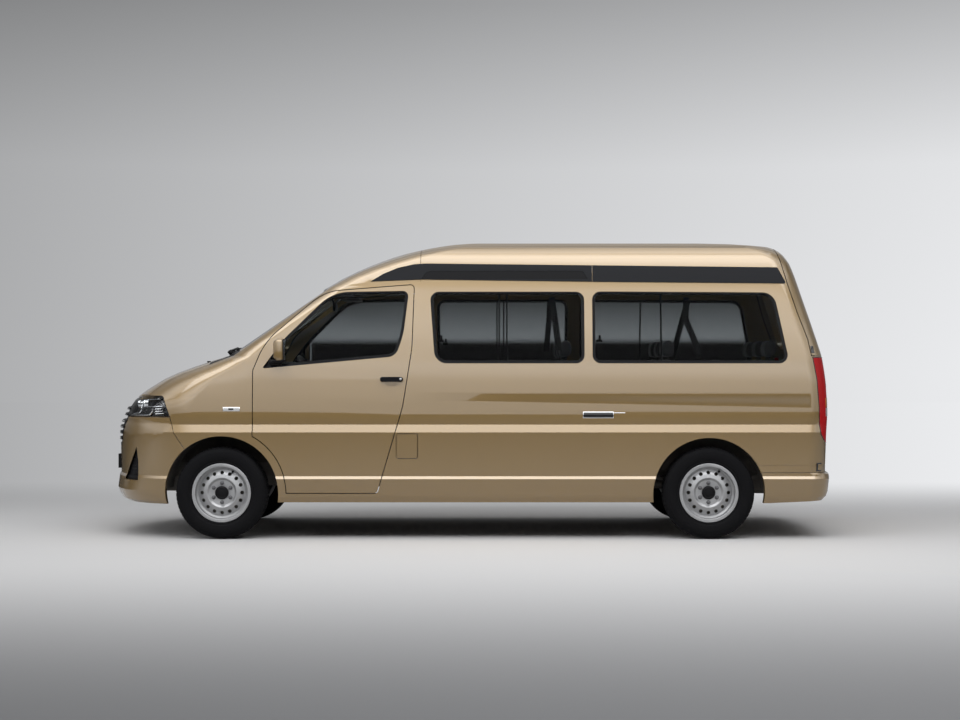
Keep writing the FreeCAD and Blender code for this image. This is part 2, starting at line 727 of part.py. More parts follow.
def sliding_door(body):
    """A fixed-closed sliding door: its inner half fills the opening, the skin has a seam."""
    face = sliding_door_face()
    window = through(sliding_window_face(), 0, WIDTH)
    return body.seamed(through(face, 0, WIDTH), through(grown(face, -PANEL_SEAM), 0, WIDTH)).cut(window)


def sliding_window_face():
    front = behind_front(SLIDING_FRONT + 85)
    back = behind_rear(SLIDING_BACK - 70)
    return side_face([(front, lifted(WINDOW_SILL), 70), (front, lifted(WINDOW_HEAD), 60),
                      (back, lifted(WINDOW_HEAD), 60), (back, lifted(WINDOW_SILL), 60)])


def seal(body, opening, filled):
    """A rubber strip in the inner part of a seam, a hair clear of the piece that closes on it."""
    return body.deep_wall.common(opening.cut(filled))


def door_seals(body):
    """The strips round the front doors, the tailgate and the front of the bonnet.

    The doors have none on their rear edge, which swings back a little before it leaves its frame.
    """
    closed = SOFT_GAP - SEAM / 2
    door = door_face()
    ring = grown(door, SEAM / 2).cut(grown(door, closed))
    ahead = box(-LENGTH, behind_front(1080), -WIDTH, WIDTH, 0, HEIGHT)
    strip = body.deep_wall.common(through(ring, -WIDTH, -DOOR_REACH)).common(ahead)
    gate = seal(body, tailgate_zone(SEAM / 2), tailgate_zone(closed))
    nose = box(-LENGTH, behind_front(-500), -400, 400, 0, HEIGHT)
    hood = seal(body, bonnet_zone(SEAM / 2), bonnet_zone(closed)).common(nose)
    return Part.makeCompound([strip, mirrored(strip), gate, hood])


def fuel_cap():
    """The filler cap in its pocket, just under the flap."""
    side = half_width(FLAP_HEIGHT)
    middle = behind_front(FUEL_FLAP_FRONT + FUEL_FLAP / 2)
    start = (middle, -(side - FUEL_POCKET), FLAP_HEIGHT)
    return rod(38, start, (middle, -(side - FUEL_LID - SOFT_GAP), FLAP_HEIGHT))


def fenders(body, wheel_cut, bonnet_open):
    """Both front fenders: what the seams leave of the wall round the front wheels."""
    inner = LAMP_INNER + 60
    shape = body.wall.common(box(-LENGTH, behind_front(217), -WIDTH, WIDTH, SILL_EDGE, 1325))
    for cut in (fender_back(), wheel_cut, front_bumper_zone(), headlamp_zone(), grille_zone(),
                bonnet_open, scuttle_zone(), box(-LENGTH, 0, -inner, inner, 0, HEIGHT)):
        shape = shape.cut(cut)
    return shape


def tailgate(body):
    """The tailgate with its window, a shallow recess for the number plate and two screw holes."""
    half, below, above = REAR_RECESS
    recess = box(behind_rear(600), behind_rear(1400), -half, half,
                 REAR_PLATE - below, REAR_PLATE + above)
    panel = body.wall.common(tailgate_zone(-SEAM / 2)).cut(tailgate_window())
    panel = panel.cut(recess.cut(body.under_paint))
    face = behind_rear(TAIL_AT_PLATE) - GLASS_DEPTH
    return panel.cut(plate_screws(face - PLATE_SCREW, behind_rear(TAIL_AT_PLATE), REAR_PLATE))


def body_ends(body, wheel_cut, bonnet_open, gate_open):
    """Bumpers, lamps, grille and scuttle, each with a seam round it in the skin."""
    recess = fog_recess()
    bumper = body.seamed(front_bumper_zone(), front_bumper_zone(PANEL_SEAM))
    bumper = bumper.cut(wheel_cut).cut(grille_zone()).cut(bonnet_open)
    face = behind_front(-FRONT_PLATE[0])
    screws = plate_screws(face, face + PLATE_SCREW, FRONT_PLATE[1])
    fog_skin = body.shell.common(recess)
    fog_back = body.recessed.common(fog_skin)
    screen = windscreen_zone()
    return {
        "front_bumper": bumper.cut(fog_skin).cut(screws),
        "grille": Part.makeCompound([grille(body, bonnet_open), fog_back,
                                     plate_holder(body).cut(screws)]),
        "headlamps": body.seamed(headlamp_zone(), headlamp_zone(LAMP_SEAM)).cut(bonnet_open),
        "scuttle_panel": body.wall.common(scuttle_zone()).cut(screen),
        "rear_bumper": body.seamed(rear_bumper_zone(), rear_bumper_zone(PANEL_SEAM)).cut(wheel_cut),
        "tail_lamps": body.seamed(tail_lamp_zone(), tail_lamp_zone(PANEL_SEAM)).cut(gate_open),
    }


def side_windows(body):
    """The fixed panes of both sides."""
    rear_window = side_face(rear_points(REAR_WINDOW))
    return Part.makeCompound([body.pane.common(through(face, y0, y1)) for face, y0, y1 in (
        (rear_window, -WIDTH, 0), (middle_window_face(), -WIDTH, 0),
        (rear_window, 0, WIDTH), (sliding_window_face(), 0, WIDTH))])


def body_panels(body):
    """All panels of the body as a dictionary of named shapes."""
    wheel_cut = arches()
    gate_open = tailgate_zone(SEAM / 2)
    bonnet_open = bonnet_zone(SEAM / 2)
    panels = body_ends(body, wheel_cut, bonnet_open, gate_open)
    pocket = through(fuel_face(), -WIDTH, -(half_width(FLAP_HEIGHT) - FUEL_POCKET))
    left = body_side(body, [middle_window_face()], -WIDTH, -1)
    panels["left_body_side"] = left.cut(pocket)
    panels["right_body_side"] = body_side(body, [sliding_door_face()], 1, WIDTH)
    seam_x = behind_front(ROOF_SEAM)
    groove = box(seam_x, seam_x + 3, -WIDTH, WIDTH, lifted(1815), HEIGHT + 60)
    panels["roof"] = body.wall.common(roof_zone()).cut(gate_open).cut(groove)
    panels["front_fenders"] = fenders(body, wheel_cut, bonnet_open)
    panels["bonnet"] = body.wall.common(bonnet_zone(-SEAM / 2))
    panels["windscreen"] = body.pane.common(windscreen_zone())
    panels["tailgate"] = tailgate(body)
    panels["tailgate_glass"] = body.pane.common(tailgate_window())
    panels["sliding_door"] = sliding_door(body)
    panels["side_windows"] = side_windows(body)
    panels["roof_trims"] = roof_trims(body)
    panels["door_seals"] = door_seals(body)
    panels["fuel_cap"] = fuel_cap()
    flap = through(grown(fuel_face(), -FLAP_GAP), -WIDTH, -(half_width(FLAP_HEIGHT) - FUEL_LID))
    panels["fuel_flap"] = body.wall.common(flap)
    for ending, shape in front_door(body, door_face()).items():
        panels["front_door_left" + ending] = shape
        panels["front_door_right" + ending] = mirrored(shape)
    return panels


# ---------------------------------------------------------------- cabin


def wheel_liners(body):
    """Dark arches over the wheels, each closed on its inner side above the suspension."""
    liners = []
    for axle, radius, inner, plate_foot in (
            (FRONT_AXLE, FRONT_ARCH, LINER_INNER, RAIL_TOP),
            (REAR_AXLE, REAR_ARCH, REAR_LINER_INNER, 470)):
        start = (axle, inner, TYRE_RADIUS)
        finish = (axle, WIDTH, TYRE_RADIUS)
        shell = rod(radius + LINER, start, finish).cut(
            rod(radius, (axle, inner + LINER, TYRE_RADIUS), finish))
        keep = box(axle - 600, axle + 600, inner, WIDTH, TYRE_RADIUS + 20, HEIGHT)
        low = box(axle - 600, axle + 600, inner, inner + LINER, 0, plate_foot)
        liner = shell.common(keep).cut(low).common(body.cabin)
        liners += [liner, mirrored(liner)]
    return Part.makeCompound(liners)


def liner_space():
    """The room that the four wheels and their liners take from the floor."""
    spaces = []
    for axle, radius, inner in (
            (FRONT_AXLE, FRONT_ARCH, LINER_INNER), (REAR_AXLE, REAR_ARCH, REAR_LINER_INNER)):
        space = rod(radius + LINER, (axle, inner, TYRE_RADIUS), (axle, WIDTH, TYRE_RADIUS))
        spaces += [space, mirrored(space)]
    return joined(spaces)


def floor(body):
    """The floor pan: narrower between the doors, so that they clear it."""
    door_back = behind_front(1370)
    front = box(behind_front(FIREWALL + 30), door_back, -DOOR_FLOOR_HALF, DOOR_FLOOR_HALF,
                FLOOR_TOP - FLOOR, FLOOR_TOP)
    rear = box(door_back, behind_rear(810), -WIDTH, WIDTH, FLOOR_TOP - FLOOR, FLOOR_TOP)
    return front.fuse(rear).common(body.cabin).cut(liner_space()).removeSplitter()


def dashboard(body):
    """Bulkhead and fascia in one piece, with the steering column's cover."""
    half = 785 * HALF / DESIGN_HALF
    profile = side_prism(front_points([
        (60, 1262, 0), (330, 1250, 40), (425, 1215, 50), (430, 1120, 40), (330, 880, 60),
        (FIREWALL + 30, 800, 0), (FIREWALL + 30, FLOOR_TOP - FLOOR, 0),
        (FIREWALL, FLOOR_TOP - FLOOR, 0), (FIREWALL, 1180, 0), (60, 1215, 0)]), -half, half)
    column = rod(32, along_column(-HUB_DEPTH - SOFT_GAP), along_column(-330))
    return profile.common(body.cabin).cut(liner_space()).fuse(column)


def along_column(distance):
    """A point on the steering axis, so far behind the rim's centre towards the driver."""
    slope = math.radians(COLUMN_RAKE)
    return (behind_front(WHEEL_BEHIND) + distance * math.cos(slope), -DRIVER,
            WHEEL_HEIGHT + distance * math.sin(slope))


def steering_wheel():
    """Rim, hub and three spokes about the column's axis."""
    rim = Part.makeTorus(STEER_RADIUS, 15)
    hub = Part.makeCylinder(52, HUB_DEPTH, vec(0, 0, -HUB_DEPTH))
    spokes = []
    for turn in (0, 180, 270):
        spoke = box(40, STEER_RADIUS - 5, -17, 17, -24, -6)
        spoke = front_to_rim(spoke)
        spoke.rotate(vec(0, 0, 0), vec(0, 0, 1), turn)
        spokes.append(spoke)
    wheel = rim.multiFuse([hub] + spokes)
    wheel.rotate(vec(0, 0, 0), vec(0, 0, 1), -90)
    wheel.rotate(vec(0, 0, 0), vec(0, 1, 0), 90 - COLUMN_RAKE)
    wheel.translate(vec(*along_column(0)))
    return wheel


def front_to_rim(spoke):
    """Raises a spoke's outer end into the rim's tube."""
    post = box(STEER_RADIUS - 22, STEER_RADIUS, -14, 14, -14, 4)
    return spoke.fuse(post)


def seat(front, cushion_foot, cushion_top, back_top, head_top, width):
    """Cushion, backrest and headrest of one place, and the headrest's two stalks."""
    half = width / 2
    x = front + CUSHION
    base = side_prism([
        (front, cushion_foot, 30), (front, cushion_top, 45), (x, cushion_top - 25, 10),
        (x, cushion_foot, 20)], -half, half)
    x += SOFT_GAP
    lean = x + BACK_LEAN
    rest = side_prism([
        (x, cushion_foot + 5, 8), (x, cushion_top - 20, 60), (lean, back_top, 45),
        (lean + 105, back_top, 35), (x + 125, cushion_foot + 5, 20)], -half, half)
    foot = back_top + 22
    pillow = side_prism([
        (lean + 8, foot, 30), (lean + 16, head_top, 40), (lean + 103, head_top, 35),
        (lean + 98, foot, 30)], -half * 0.52, half * 0.52)
    stalks = [rod(6, (lean + 53, y, back_top + SOFT_GAP), (lean + 53, y, foot - SOFT_GAP))
              for y in (-60, 60)]
    return [base, rest, pillow], stalks


def seat_frame(front, cushion_foot, width):
    """The pan under a cushion, on four legs."""
    half = width / 2
    pan = box(front + 30, front + 560, 25 - half, half - 25, cushion_foot - 40,
              cushion_foot - SOFT_GAP)
    legs = [box(front + leg, front + leg + 45, side * (half - 60) - 18, side * (half - 60) + 18,
                FLOOR_TOP, cushion_foot - 40) for leg in (70, 470) for side in (-1, 1)]
    return pan.multiFuse(legs)


def seats():
    """Cushions of the front pair and of three rows behind, and the frames that carry them."""
    front_soft = []
    rear_soft = []
    frames = []
    # Columns: front X, middle Y, width, cushion foot, cushion top, back top, head top, list.
    places = [(behind_front(640), y, 500, 780, 890, 1300, 1470, front_soft)
              for y in (-DRIVER, DRIVER)]
    for row in (0, 1, 2):
        x = behind_rear(-1640 + row * ROW_PITCH)
        places += [(x, y, 420, 752, 862, 1262, 1402, rear_soft) for y in (-440, 0, 440)]
    for x, y, width, foot, top, back_top, head_top, soft in places:
        cushions, stalks = seat(x, foot, top, back_top, head_top, width)
        metal = stalks + [seat_frame(x, foot, width)]
        for piece in cushions + metal:
            piece.translate(vec(0, y, 0))
        soft += cushions
        frames += metal
    return Part.makeCompound(front_soft), Part.makeCompound(rear_soft), Part.makeCompound(frames)


# ---------------------------------------------------------------- underneath


def underframe(body):
    """Two long rails with cross members, a beam behind each bumper and four jacking pads."""
    front = behind_front(-RAIL_AHEAD)
    back = behind_rear(RAIL_BEHIND)
    rails = [box(front, back, side * RAIL_Y - RAIL / 2, side * RAIL_Y + RAIL / 2,
                 RAIL_TOP - 100, RAIL_TOP) for side in (-1, 1)]
    cross = [box(x, x + 60, -RAIL_Y, RAIL_Y, CROSS_FOOT, RAIL_TOP) for x in CROSS_MEMBERS]
    beams = [box(behind_front(-1200), front, -560, 560, RAIL_TOP - 100, RAIL_TOP),
             box(back, behind_rear(1200), -560, 560, CROSS_FOOT, RAIL_TOP)]
    pads = [box(x - 45, x + 45, side * RAIL_Y - 35, side * RAIL_Y + 35,
                RAIL_TOP - 100 - PAD, RAIL_TOP - 100)
            for x in (behind_front(535), behind_rear(-845)) for side in (-1, 1)]
    beams = [beam.common(body.cabin) for beam in beams]
    return joined(rails + cross + beams + pads).removeSplitter()


def engine():
    """The engine with its gearbox, as one plain block."""
    block = box(behind_front(-560), behind_front(115), -280, 280, SUBFRAME_TOP, 900)
    gearbox = box(behind_front(115), behind_front(GEARBOX_BACK), -150, 150, 330, CROSS_FOOT - 10)
    return block.fuse(gearbox)


def front_suspension():
    """Subframe with an upper and a lower arm on each side."""
    x0 = FRONT_AXLE - 65
    x1 = FRONT_AXLE + 65
    inner = RAIL_Y + RAIL / 2
    foot = SUBFRAME_TOP - 70
    pieces = [box(x0, x1, -inner, inner, foot, SUBFRAME_TOP)]
    low = TYRE_RADIUS - BALL_DROP
    high = TYRE_RADIUS + BALL_DROP
    for side in (-1, 1):
        tower = box(x0, x1, RAIL_Y - RAIL / 2, inner, SUBFRAME_TOP - 10, RAIL_TOP - 100)
        tips = [rod(24, (FRONT_AXLE, KINGPIN, z - BALL_HALF), (FRONT_AXLE, KINGPIN, z + BALL_HALF))
                for z in (low, high)]
        arms = [arm_between(60, inner - 20, foot, low), arm_between(40, inner, high - 12, high)]
        half = joined([tower] + tips + arms)
        pieces.append(half if side > 0 else mirrored(half))
    return joined(pieces).removeSplitter()


def arm_between(half, y, foot, ball):
    """A tapered arm from the frame out to a ball joint at the kingpin."""
    def section(x_half, y_at, z0, z1):
        return Part.makePolygon([
            vec(FRONT_AXLE - x_half, y_at, z0), vec(FRONT_AXLE + x_half, y_at, z0),
            vec(FRONT_AXLE + x_half, y_at, z1), vec(FRONT_AXLE - x_half, y_at, z1),
            vec(FRONT_AXLE - x_half, y_at, z0)])
    root = section(half, y, foot, foot + 24)
    tip = section(18, KINGPIN - 10, ball - 12, ball + 6)
    return Part.makeLoft([root, tip], True, True)


def knuckle():
    """The right front upright with its hub and brake disc, about the kingpin."""
    centre = TRACK / 2
    reach = BALL_DROP - BALL_HALF - SOFT_GAP
    post = rod(26, (FRONT_AXLE, KINGPIN, TYRE_RADIUS - reach),
               (FRONT_AXLE, KINGPIN, TYRE_RADIUS + reach))
    hub = rod(45, (FRONT_AXLE, KINGPIN - 20, TYRE_RADIUS),
              (FRONT_AXLE, centre + HUB_FACE, TYRE_RADIUS))
    brake = rod(BRAKE_RADIUS, (FRONT_AXLE, centre - 12, TYRE_RADIUS),
                (FRONT_AXLE, centre + 10, TYRE_RADIUS))
    arm = side_prism([(FRONT_AXLE, 285, 0), (FRONT_AXLE, 320, 0), (FRONT_AXLE + 130, 312, 10),
                      (FRONT_AXLE + 130, 290, 10)], KINGPIN - 12, KINGPIN + 12)
    return post.multiFuse([hub, brake, arm]).removeSplitter()


def leaf(length, drop, thickness, top):
    """One curved leaf in the side view: low in the middle, high at its ends."""
    half = length / 2
    rise = drop * (half / SPRING_HALF) ** 2

    def arc(z):
        return Part.Arc(vec(REAR_AXLE - half, 0, z + rise), vec(REAR_AXLE, 0, z),
                        vec(REAR_AXLE + half, 0, z + rise)).toShape()

    low = arc(top - thickness)
    high = arc(top)
    ends = [Part.makeLine(vec(REAR_AXLE + s * half, 0, top - thickness + rise),
                          vec(REAR_AXLE + s * half, 0, top + rise)) for s in (-1, 1)]
    return Part.Face(Part.Wire([low, ends[1], high, ends[0]]))


def rear_axle():
    """Solid axle with its differential, drums and leaf springs, and the propeller shaft."""
    z = TYRE_RADIUS
    centre = TRACK / 2
    pieces = [rod(38, (REAR_AXLE, -centre, z), (REAR_AXLE, centre, z)),
              Part.makeSphere(138, vec(REAR_AXLE, 0, z)),
              rod(46, (behind_front(GEARBOX_BACK), 0, 400),
                  (behind_front(GEARBOX_BACK + 14), 0, 400)),
              rod(34, (behind_front(GEARBOX_BACK + 7), 0, 400), (REAR_AXLE - 60, 0, z))]
    for side in (-1, 1):
        y = side * centre
        pieces.append(rod(BRAKE_RADIUS - 5, (REAR_AXLE, y - side * 45, z),
                          (REAR_AXLE, y + side * 15, z)))
        pieces.append(rod(45, (REAR_AXLE, y, z), (REAR_AXLE, y + side * HUB_FACE, z)))
        for number, length in enumerate((2 * SPRING_HALF, 1.45 * SPRING_HALF, 0.9 * SPRING_HALF)):
            strip = leaf(length, SPRING_RISE, 13, z + 36 + 39 - number * 13)
            strip.translate(vec(0, side * SPRING_Y - 32, 0))
            pieces.append(strip.extrude(vec(0, 64, 0)))
        for end in (-1, 1):
            x = REAR_AXLE + end * (SPRING_HALF - 15)
            pieces.append(box(x - 22, x + 22, side * SPRING_Y - 32, side * SPRING_Y + 32,
                              z + 60 + SPRING_RISE, RAIL_TOP))
    return joined(pieces).removeSplitter()


def exhaust():
    """Pipe from the engine to a silencer and out to the right, ahead of the rear wheel."""
    route = [(behind_front(115), 230, 420), (behind_front(170), 230, 420),
             (behind_front(330), 230, 385), (behind_rear(-700), 230, 385),
             (behind_rear(-560), 400, 360), (behind_rear(-520), HALF - WALL - PIPE_INSET, 335)]
    pieces = [rod(PIPE, a, b) for a, b in zip(route, route[1:])]
    pieces += [Part.makeSphere(ELBOW, vec(*end), vec(*end) - vec(*start))
               for start, end in zip(route, route[1:-1])]
    pieces.append(rod(SILENCER, (behind_rear(-1500), 230, 398), (behind_rear(-900), 230, 398)))
    hanger_x = CROSS_MEMBERS[2] + 30
    pieces.append(box(hanger_x - 12, hanger_x + 12, 218, 242, 400, CROSS_FOOT))
    return joined(pieces).removeSplitter()


def fuel_tank():
    return side_prism([
        (behind_rear(-1560), 292, 40), (behind_rear(-1560), CROSS_FOOT, 15),
        (behind_rear(-860), CROSS_FOOT, 15), (behind_rear(-860), 292, 40)], -365, -60)


# ---------------------------------------------------------------- wheels


def revolved(profile, axle):
    """A ring about the wheel's own axis from (radius, outward offset, corner) points."""
    wire = rounded(profile, lambda p: vec(0, p.y, p.x))
    ring = Part.Face(wire).revolve(vec(0, 0, 0), vec(0, 1, 0), 360)
    ring.translate(vec(*axle))
    return ring


def rim(axle):
    """Pressed steel wheel: lip, well, and a dished disc with a ring of round holes."""
    half = RIM_HALF
    lip = RIM_RADIUS
    well = [(lip, half, 3), (lip, half - 7, 0), (lip - 18, half - 12, 4), (lip - 20, 52, 10),
            (lip - 38, 40, 10), (lip - 38, -10, 10), (lip - 20, -34, 10), (lip - 18, 12 - half, 4),
            (lip, 7 - half, 0), (lip, -half, 3), (lip - 24, -half, 4), (lip - 26, -30, 10),
            (lip - 44, -8, 10), (lip - 44, 40, 10), (lip - 26, 56, 10), (lip - 24, half, 4)]
    back = DISC_BACK
    dish = [(lip - 41, 38, 0), (lip - 41, 22, 0), (lip - 58, back - 7, 12), (lip - 80, back + 3, 12),
            (lip - 100, back + 9, 8), (lip - 112, back, 8), (0, back, 0), (0, back + 8, 0),
            (lip - 118, back + 8, 8), (lip - 104, back + 18, 8), (lip - 78, back + 12, 12),
            (lip - 56, back + 2, 12)]
    wheel = revolved(well, axle).fuse(revolved(dish, axle))
    holes = []
    for number in range(HOLES):
        turn = 2 * math.pi * number / HOLES
        x = axle[0] + HOLE_CIRCLE * math.cos(turn)
        z = axle[2] + HOLE_CIRCLE * math.sin(turn)
        holes.append(rod(HOLE_RADIUS, (x, axle[1] + 10, z), (x, axle[1] + 80, z)))
    return wheel.cut(Part.makeCompound(holes))


def tyre(axle):
    """The tyre: beads on the rim, bulging walls and a slightly crowned tread."""
    half = TYRE_WIDTH / 2
    lip = RIM_RADIUS
    crown = TYRE_RADIUS
    bead = RIM_HALF - 12 - SOFT_GAP
    inner = half - 24
    seat_r = lip - 18 + SOFT_GAP
    profile = [(seat_r, bead, BEAD_CORNER), (lip + SOFT_GAP, bead + 5, 0),
               (lip + SOFT_GAP, RIM_HALF - 1, 0), (lip + 55, half, 60),
               (crown - 22, half - 10, 25), (crown - 3, half - 30, 12), (crown, 0, 0),
               (crown - 3, 30 - half, 12), (crown - 22, 10 - half, 25), (lip + 55, -half, 60),
               (lip + SOFT_GAP, 1 - RIM_HALF, 0), (lip + SOFT_GAP, -bead - 5, 0),
               (seat_r, -bead, BEAD_CORNER), (seat_r, 14 - bead, 0),
               (lip + 14, -inner, 10), (crown - 30, -inner, 25), (crown - 24, 0, 0),
               (crown - 30, inner, 25), (lip + 14, inner, 10), (seat_r, bead - 14, 0)]
    return revolved(profile, axle)


def wheels():
    """Rim and tyre for each of the four places; the left ones are mirrored."""
    nodes = {}
    for place, x in (("front", FRONT_AXLE), ("rear", REAR_AXLE)):
        axle = (x, TRACK / 2, TYRE_RADIUS)
        rim_shape = rim(axle)
        tyre_shape = tyre(axle)
        nodes["rim_" + place + "_right"] = rim_shape
        nodes["tyre_" + place + "_right"] = tyre_shape
        nodes["rim_" + place + "_left"] = mirrored(rim_shape)
        nodes["tyre_" + place + "_left"] = mirrored(tyre_shape)
    return nodes


def spare_wheel():
    """The spare lies flat under the tail, on a hanger from the last cross member."""
    wheel = rim((0, 0, 0)).fuse(tyre((0, 0, 0)))
    wheel.rotate(vec(0, 0, 0), vec(1, 0, 0), -90)
    middle = CROSS_FOOT - 8 - TYRE_WIDTH / 2
    wheel.translate(vec(SPARE_X, 0, middle))
    strap = box(CROSS_MEMBERS[-1] + 60, SPARE_X + 40, -30, 30, CROSS_FOOT, CROSS_FOOT + 12)
    post = rod(36, (SPARE_X, 0, middle - DISC_BACK + SOFT_GAP), (SPARE_X, 0, CROSS_FOOT + 12))
    return Part.makeCompound([wheel, strap.fuse(post)])


# ---------------------------------------------------------------- output


def build():
    """Every node of the vehicle by name."""
    body = Body()
    nodes = body_panels(body)
    nodes["wheel_liners"] = wheel_liners(body)
    nodes["floor"] = floor(body)
    nodes["dashboard"] = dashboard(body)
    nodes["steering_wheel"] = steering_wheel()
    nodes["front_seats"], nodes["rear_seats"], nodes["seat_frames"] = seats()
    nodes["underframe"] = underframe(body)
    nodes["engine"] = engine()
    nodes["front_suspension"] = front_suspension()
    nodes["rear_axle"] = rear_axle()
    nodes["exhaust"] = exhaust()
    nodes["fuel_tank"] = fuel_tank()
    nodes["spare_wheel"] = spare_wheel()
    nodes["knuckle_right"] = knuckle()
    nodes["knuckle_left"] = mirrored(nodes["knuckle_right"])
    nodes.update(wheels())
    return nodes


def write(nodes):
    os.makedirs("parts", exist_ok=True)
    for name, shape in nodes.items():
        Part.makeCompound(solids_of(shape)).exportStep(os.path.join("parts", name + ".step"))


write(build())
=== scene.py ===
# %% [markdown]
# # A long-wheelbase minibus, finished in Blender
#
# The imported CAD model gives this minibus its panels, glass, wheels and running gear at their real
# size. This lesson dresses them: it rounds the shading of the body, mixes the paint, glass, rubber
# and cloth, and models what a body shop would fit last, such as lamps, wipers, treads and belts.
# Everything is in metres. The nose points to -X, the driver's side is -Y and Z is up.

# %% The tools and the frame
import json
import math

import bmesh
import bpy
from mathutils import Matrix, Vector


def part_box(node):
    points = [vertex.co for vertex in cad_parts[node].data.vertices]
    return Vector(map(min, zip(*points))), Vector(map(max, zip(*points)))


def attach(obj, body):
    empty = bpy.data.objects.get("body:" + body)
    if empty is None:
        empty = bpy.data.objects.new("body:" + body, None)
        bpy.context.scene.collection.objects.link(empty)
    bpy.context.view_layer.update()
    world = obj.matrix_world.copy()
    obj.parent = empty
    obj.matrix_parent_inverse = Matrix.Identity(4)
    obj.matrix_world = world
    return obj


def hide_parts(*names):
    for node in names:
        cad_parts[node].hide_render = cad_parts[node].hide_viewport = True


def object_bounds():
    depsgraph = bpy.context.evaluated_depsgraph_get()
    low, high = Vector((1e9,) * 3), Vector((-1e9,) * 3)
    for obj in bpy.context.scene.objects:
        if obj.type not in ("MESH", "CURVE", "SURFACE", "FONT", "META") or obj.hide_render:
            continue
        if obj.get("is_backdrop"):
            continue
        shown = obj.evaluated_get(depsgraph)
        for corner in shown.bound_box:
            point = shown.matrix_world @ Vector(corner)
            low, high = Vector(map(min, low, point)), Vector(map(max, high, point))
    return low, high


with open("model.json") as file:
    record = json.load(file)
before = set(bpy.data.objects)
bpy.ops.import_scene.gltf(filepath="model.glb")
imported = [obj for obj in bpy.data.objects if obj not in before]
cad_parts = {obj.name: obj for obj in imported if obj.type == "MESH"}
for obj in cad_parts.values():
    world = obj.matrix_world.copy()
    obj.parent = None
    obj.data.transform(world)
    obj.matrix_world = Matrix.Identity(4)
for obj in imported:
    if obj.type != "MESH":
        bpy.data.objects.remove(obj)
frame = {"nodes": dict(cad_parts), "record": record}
NODES = frame["nodes"]
scene = bpy.context.scene
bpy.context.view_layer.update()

# %% [markdown]
# ## Small helpers
#
# Blender's operators act on whatever is selected, so every step starts from an empty selection.
# `only` selects one object and makes it active. `in_edit` opens it in edit mode, selects the faces,
# edges or points that pass a test, runs one or more operators and closes it again.

# %% Selecting


def nothing_selected():
    bpy.ops.object.select_all(action="DESELECT")


def only(piece):
    nothing_selected()
    piece.select_set(True)
    bpy.context.view_layer.objects.active = piece


def in_edit(piece, kind, test, *steps):
    """Select the parts of a mesh that pass a test, then run each step on them."""
    only(piece)
    bpy.ops.object.mode_set(mode="EDIT")
    bpy.ops.mesh.select_mode(type=kind)
    mesh = bmesh.from_edit_mesh(piece.data)
    for part in list(mesh.verts) + list(mesh.edges) + list(mesh.faces):
        part.select_set(False)
    chosen = {"VERT": mesh.verts, "EDGE": mesh.edges, "FACE": mesh.faces}[kind]
    for part in chosen:
        if test(part):
            part.select_set(True)
    mesh.select_flush_mode()
    bmesh.update_edit_mesh(piece.data)
    for step in steps:
        step()
    bpy.ops.object.mode_set(mode="OBJECT")
    return piece


def everything(part):
    return True


def face_middle(face):
    return face.calc_center_median()


def edge_middle(edge):
    return (edge.verts[0].co + edge.verts[1].co) / 2


# %% [markdown]
# A finished piece sits at the origin with its place in its mesh, has its modifiers applied, rides
# on one of the bodies and takes one finish.

# %% Finishing a piece


def settle(piece):
    """Write an object's place and turn into its mesh."""
    only(piece)
    bpy.ops.object.transform_apply(location=True, rotation=True, scale=True)
    return piece


def apply_modifier(piece, kind, **values):
    """Add one modifier, set it up and apply it."""
    only(piece)
    modifier = piece.modifiers.new(kind, kind)
    for key, value in values.items():
        setattr(modifier, key, value)
    bpy.ops.object.modifier_apply(modifier=modifier.name)
    return piece


def fitted(piece, name, body, material, angle=35):
    """Name a piece, smooth it by angle, give it its finish and let it ride on its body."""
    settle(piece)
    piece.name = name
    piece.data.materials.clear()
    piece.data.materials.append(material)
    for face in piece.data.polygons:
        face.material_index = 0
    only(piece)
    bpy.ops.object.shade_smooth_by_angle(angle=math.radians(angle))
    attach(piece, body)
    return piece


def joined(pieces):
    """Several meshes as one."""
    if len(pieces) == 1:
        return pieces[0]
    nothing_selected()
    for piece in pieces:
        piece.select_set(True)
    bpy.context.view_layer.objects.active = pieces[0]
    bpy.ops.object.join()
    return pieces[0]


def facing_out(piece):
    """Merge doubles and turn every face outwards."""
    return in_edit(piece, "FACE", everything,
                   lambda: bpy.ops.mesh.remove_doubles(threshold=0.00005),
                   lambda: bpy.ops.mesh.normals_make_consistent(inside=False))


def mirrored(piece):
    """A copy on the other side of the vehicle, with its own mesh."""
    only(piece)
    bpy.ops.object.duplicate(linked=False)
    copy = bpy.context.active_object
    for point in copy.data.vertices:
        point.co.y = -point.co.y
    copy.data.flip_normals()
    return copy


# %% Simple starts


def block(low, high, bevel=0.0, segments=2):
    """A box between two corners, with its edges rounded in edit mode."""
    middle = (Vector(low) + Vector(high)) / 2
    bpy.ops.mesh.primitive_cube_add(size=1, location=middle)
    piece = bpy.context.active_object
    piece.scale = Vector(high) - Vector(low)
    settle(piece)
    if bevel:
        in_edit(piece, "EDGE", everything, lambda: bpy.ops.mesh.bevel(
            offset=bevel, segments=segments, affect="EDGES"))
    return piece


def drum(start, finish, radius, bevel=0.0, sides=32):
    """A short round bar between two points, with its rims rounded."""
    start, finish = Vector(start), Vector(finish)
    axis = finish - start
    bpy.ops.mesh.primitive_cylinder_add(radius=radius, depth=axis.length, vertices=sides,
                                        location=(start + finish) / 2,
                                        rotation=axis.to_track_quat("Z", "Y").to_euler())
    piece = settle(bpy.context.active_object)
    if bevel:
        way = axis.normalized()

        def at_a_rim(edge):
            return abs((edge.verts[0].co - edge.verts[1].co).normalized().dot(way)) < 0.1

        in_edit(piece, "EDGE", at_a_rim, lambda: bpy.ops.mesh.bevel(
            offset=bevel, segments=2, affect="EDGES"))
    return piece


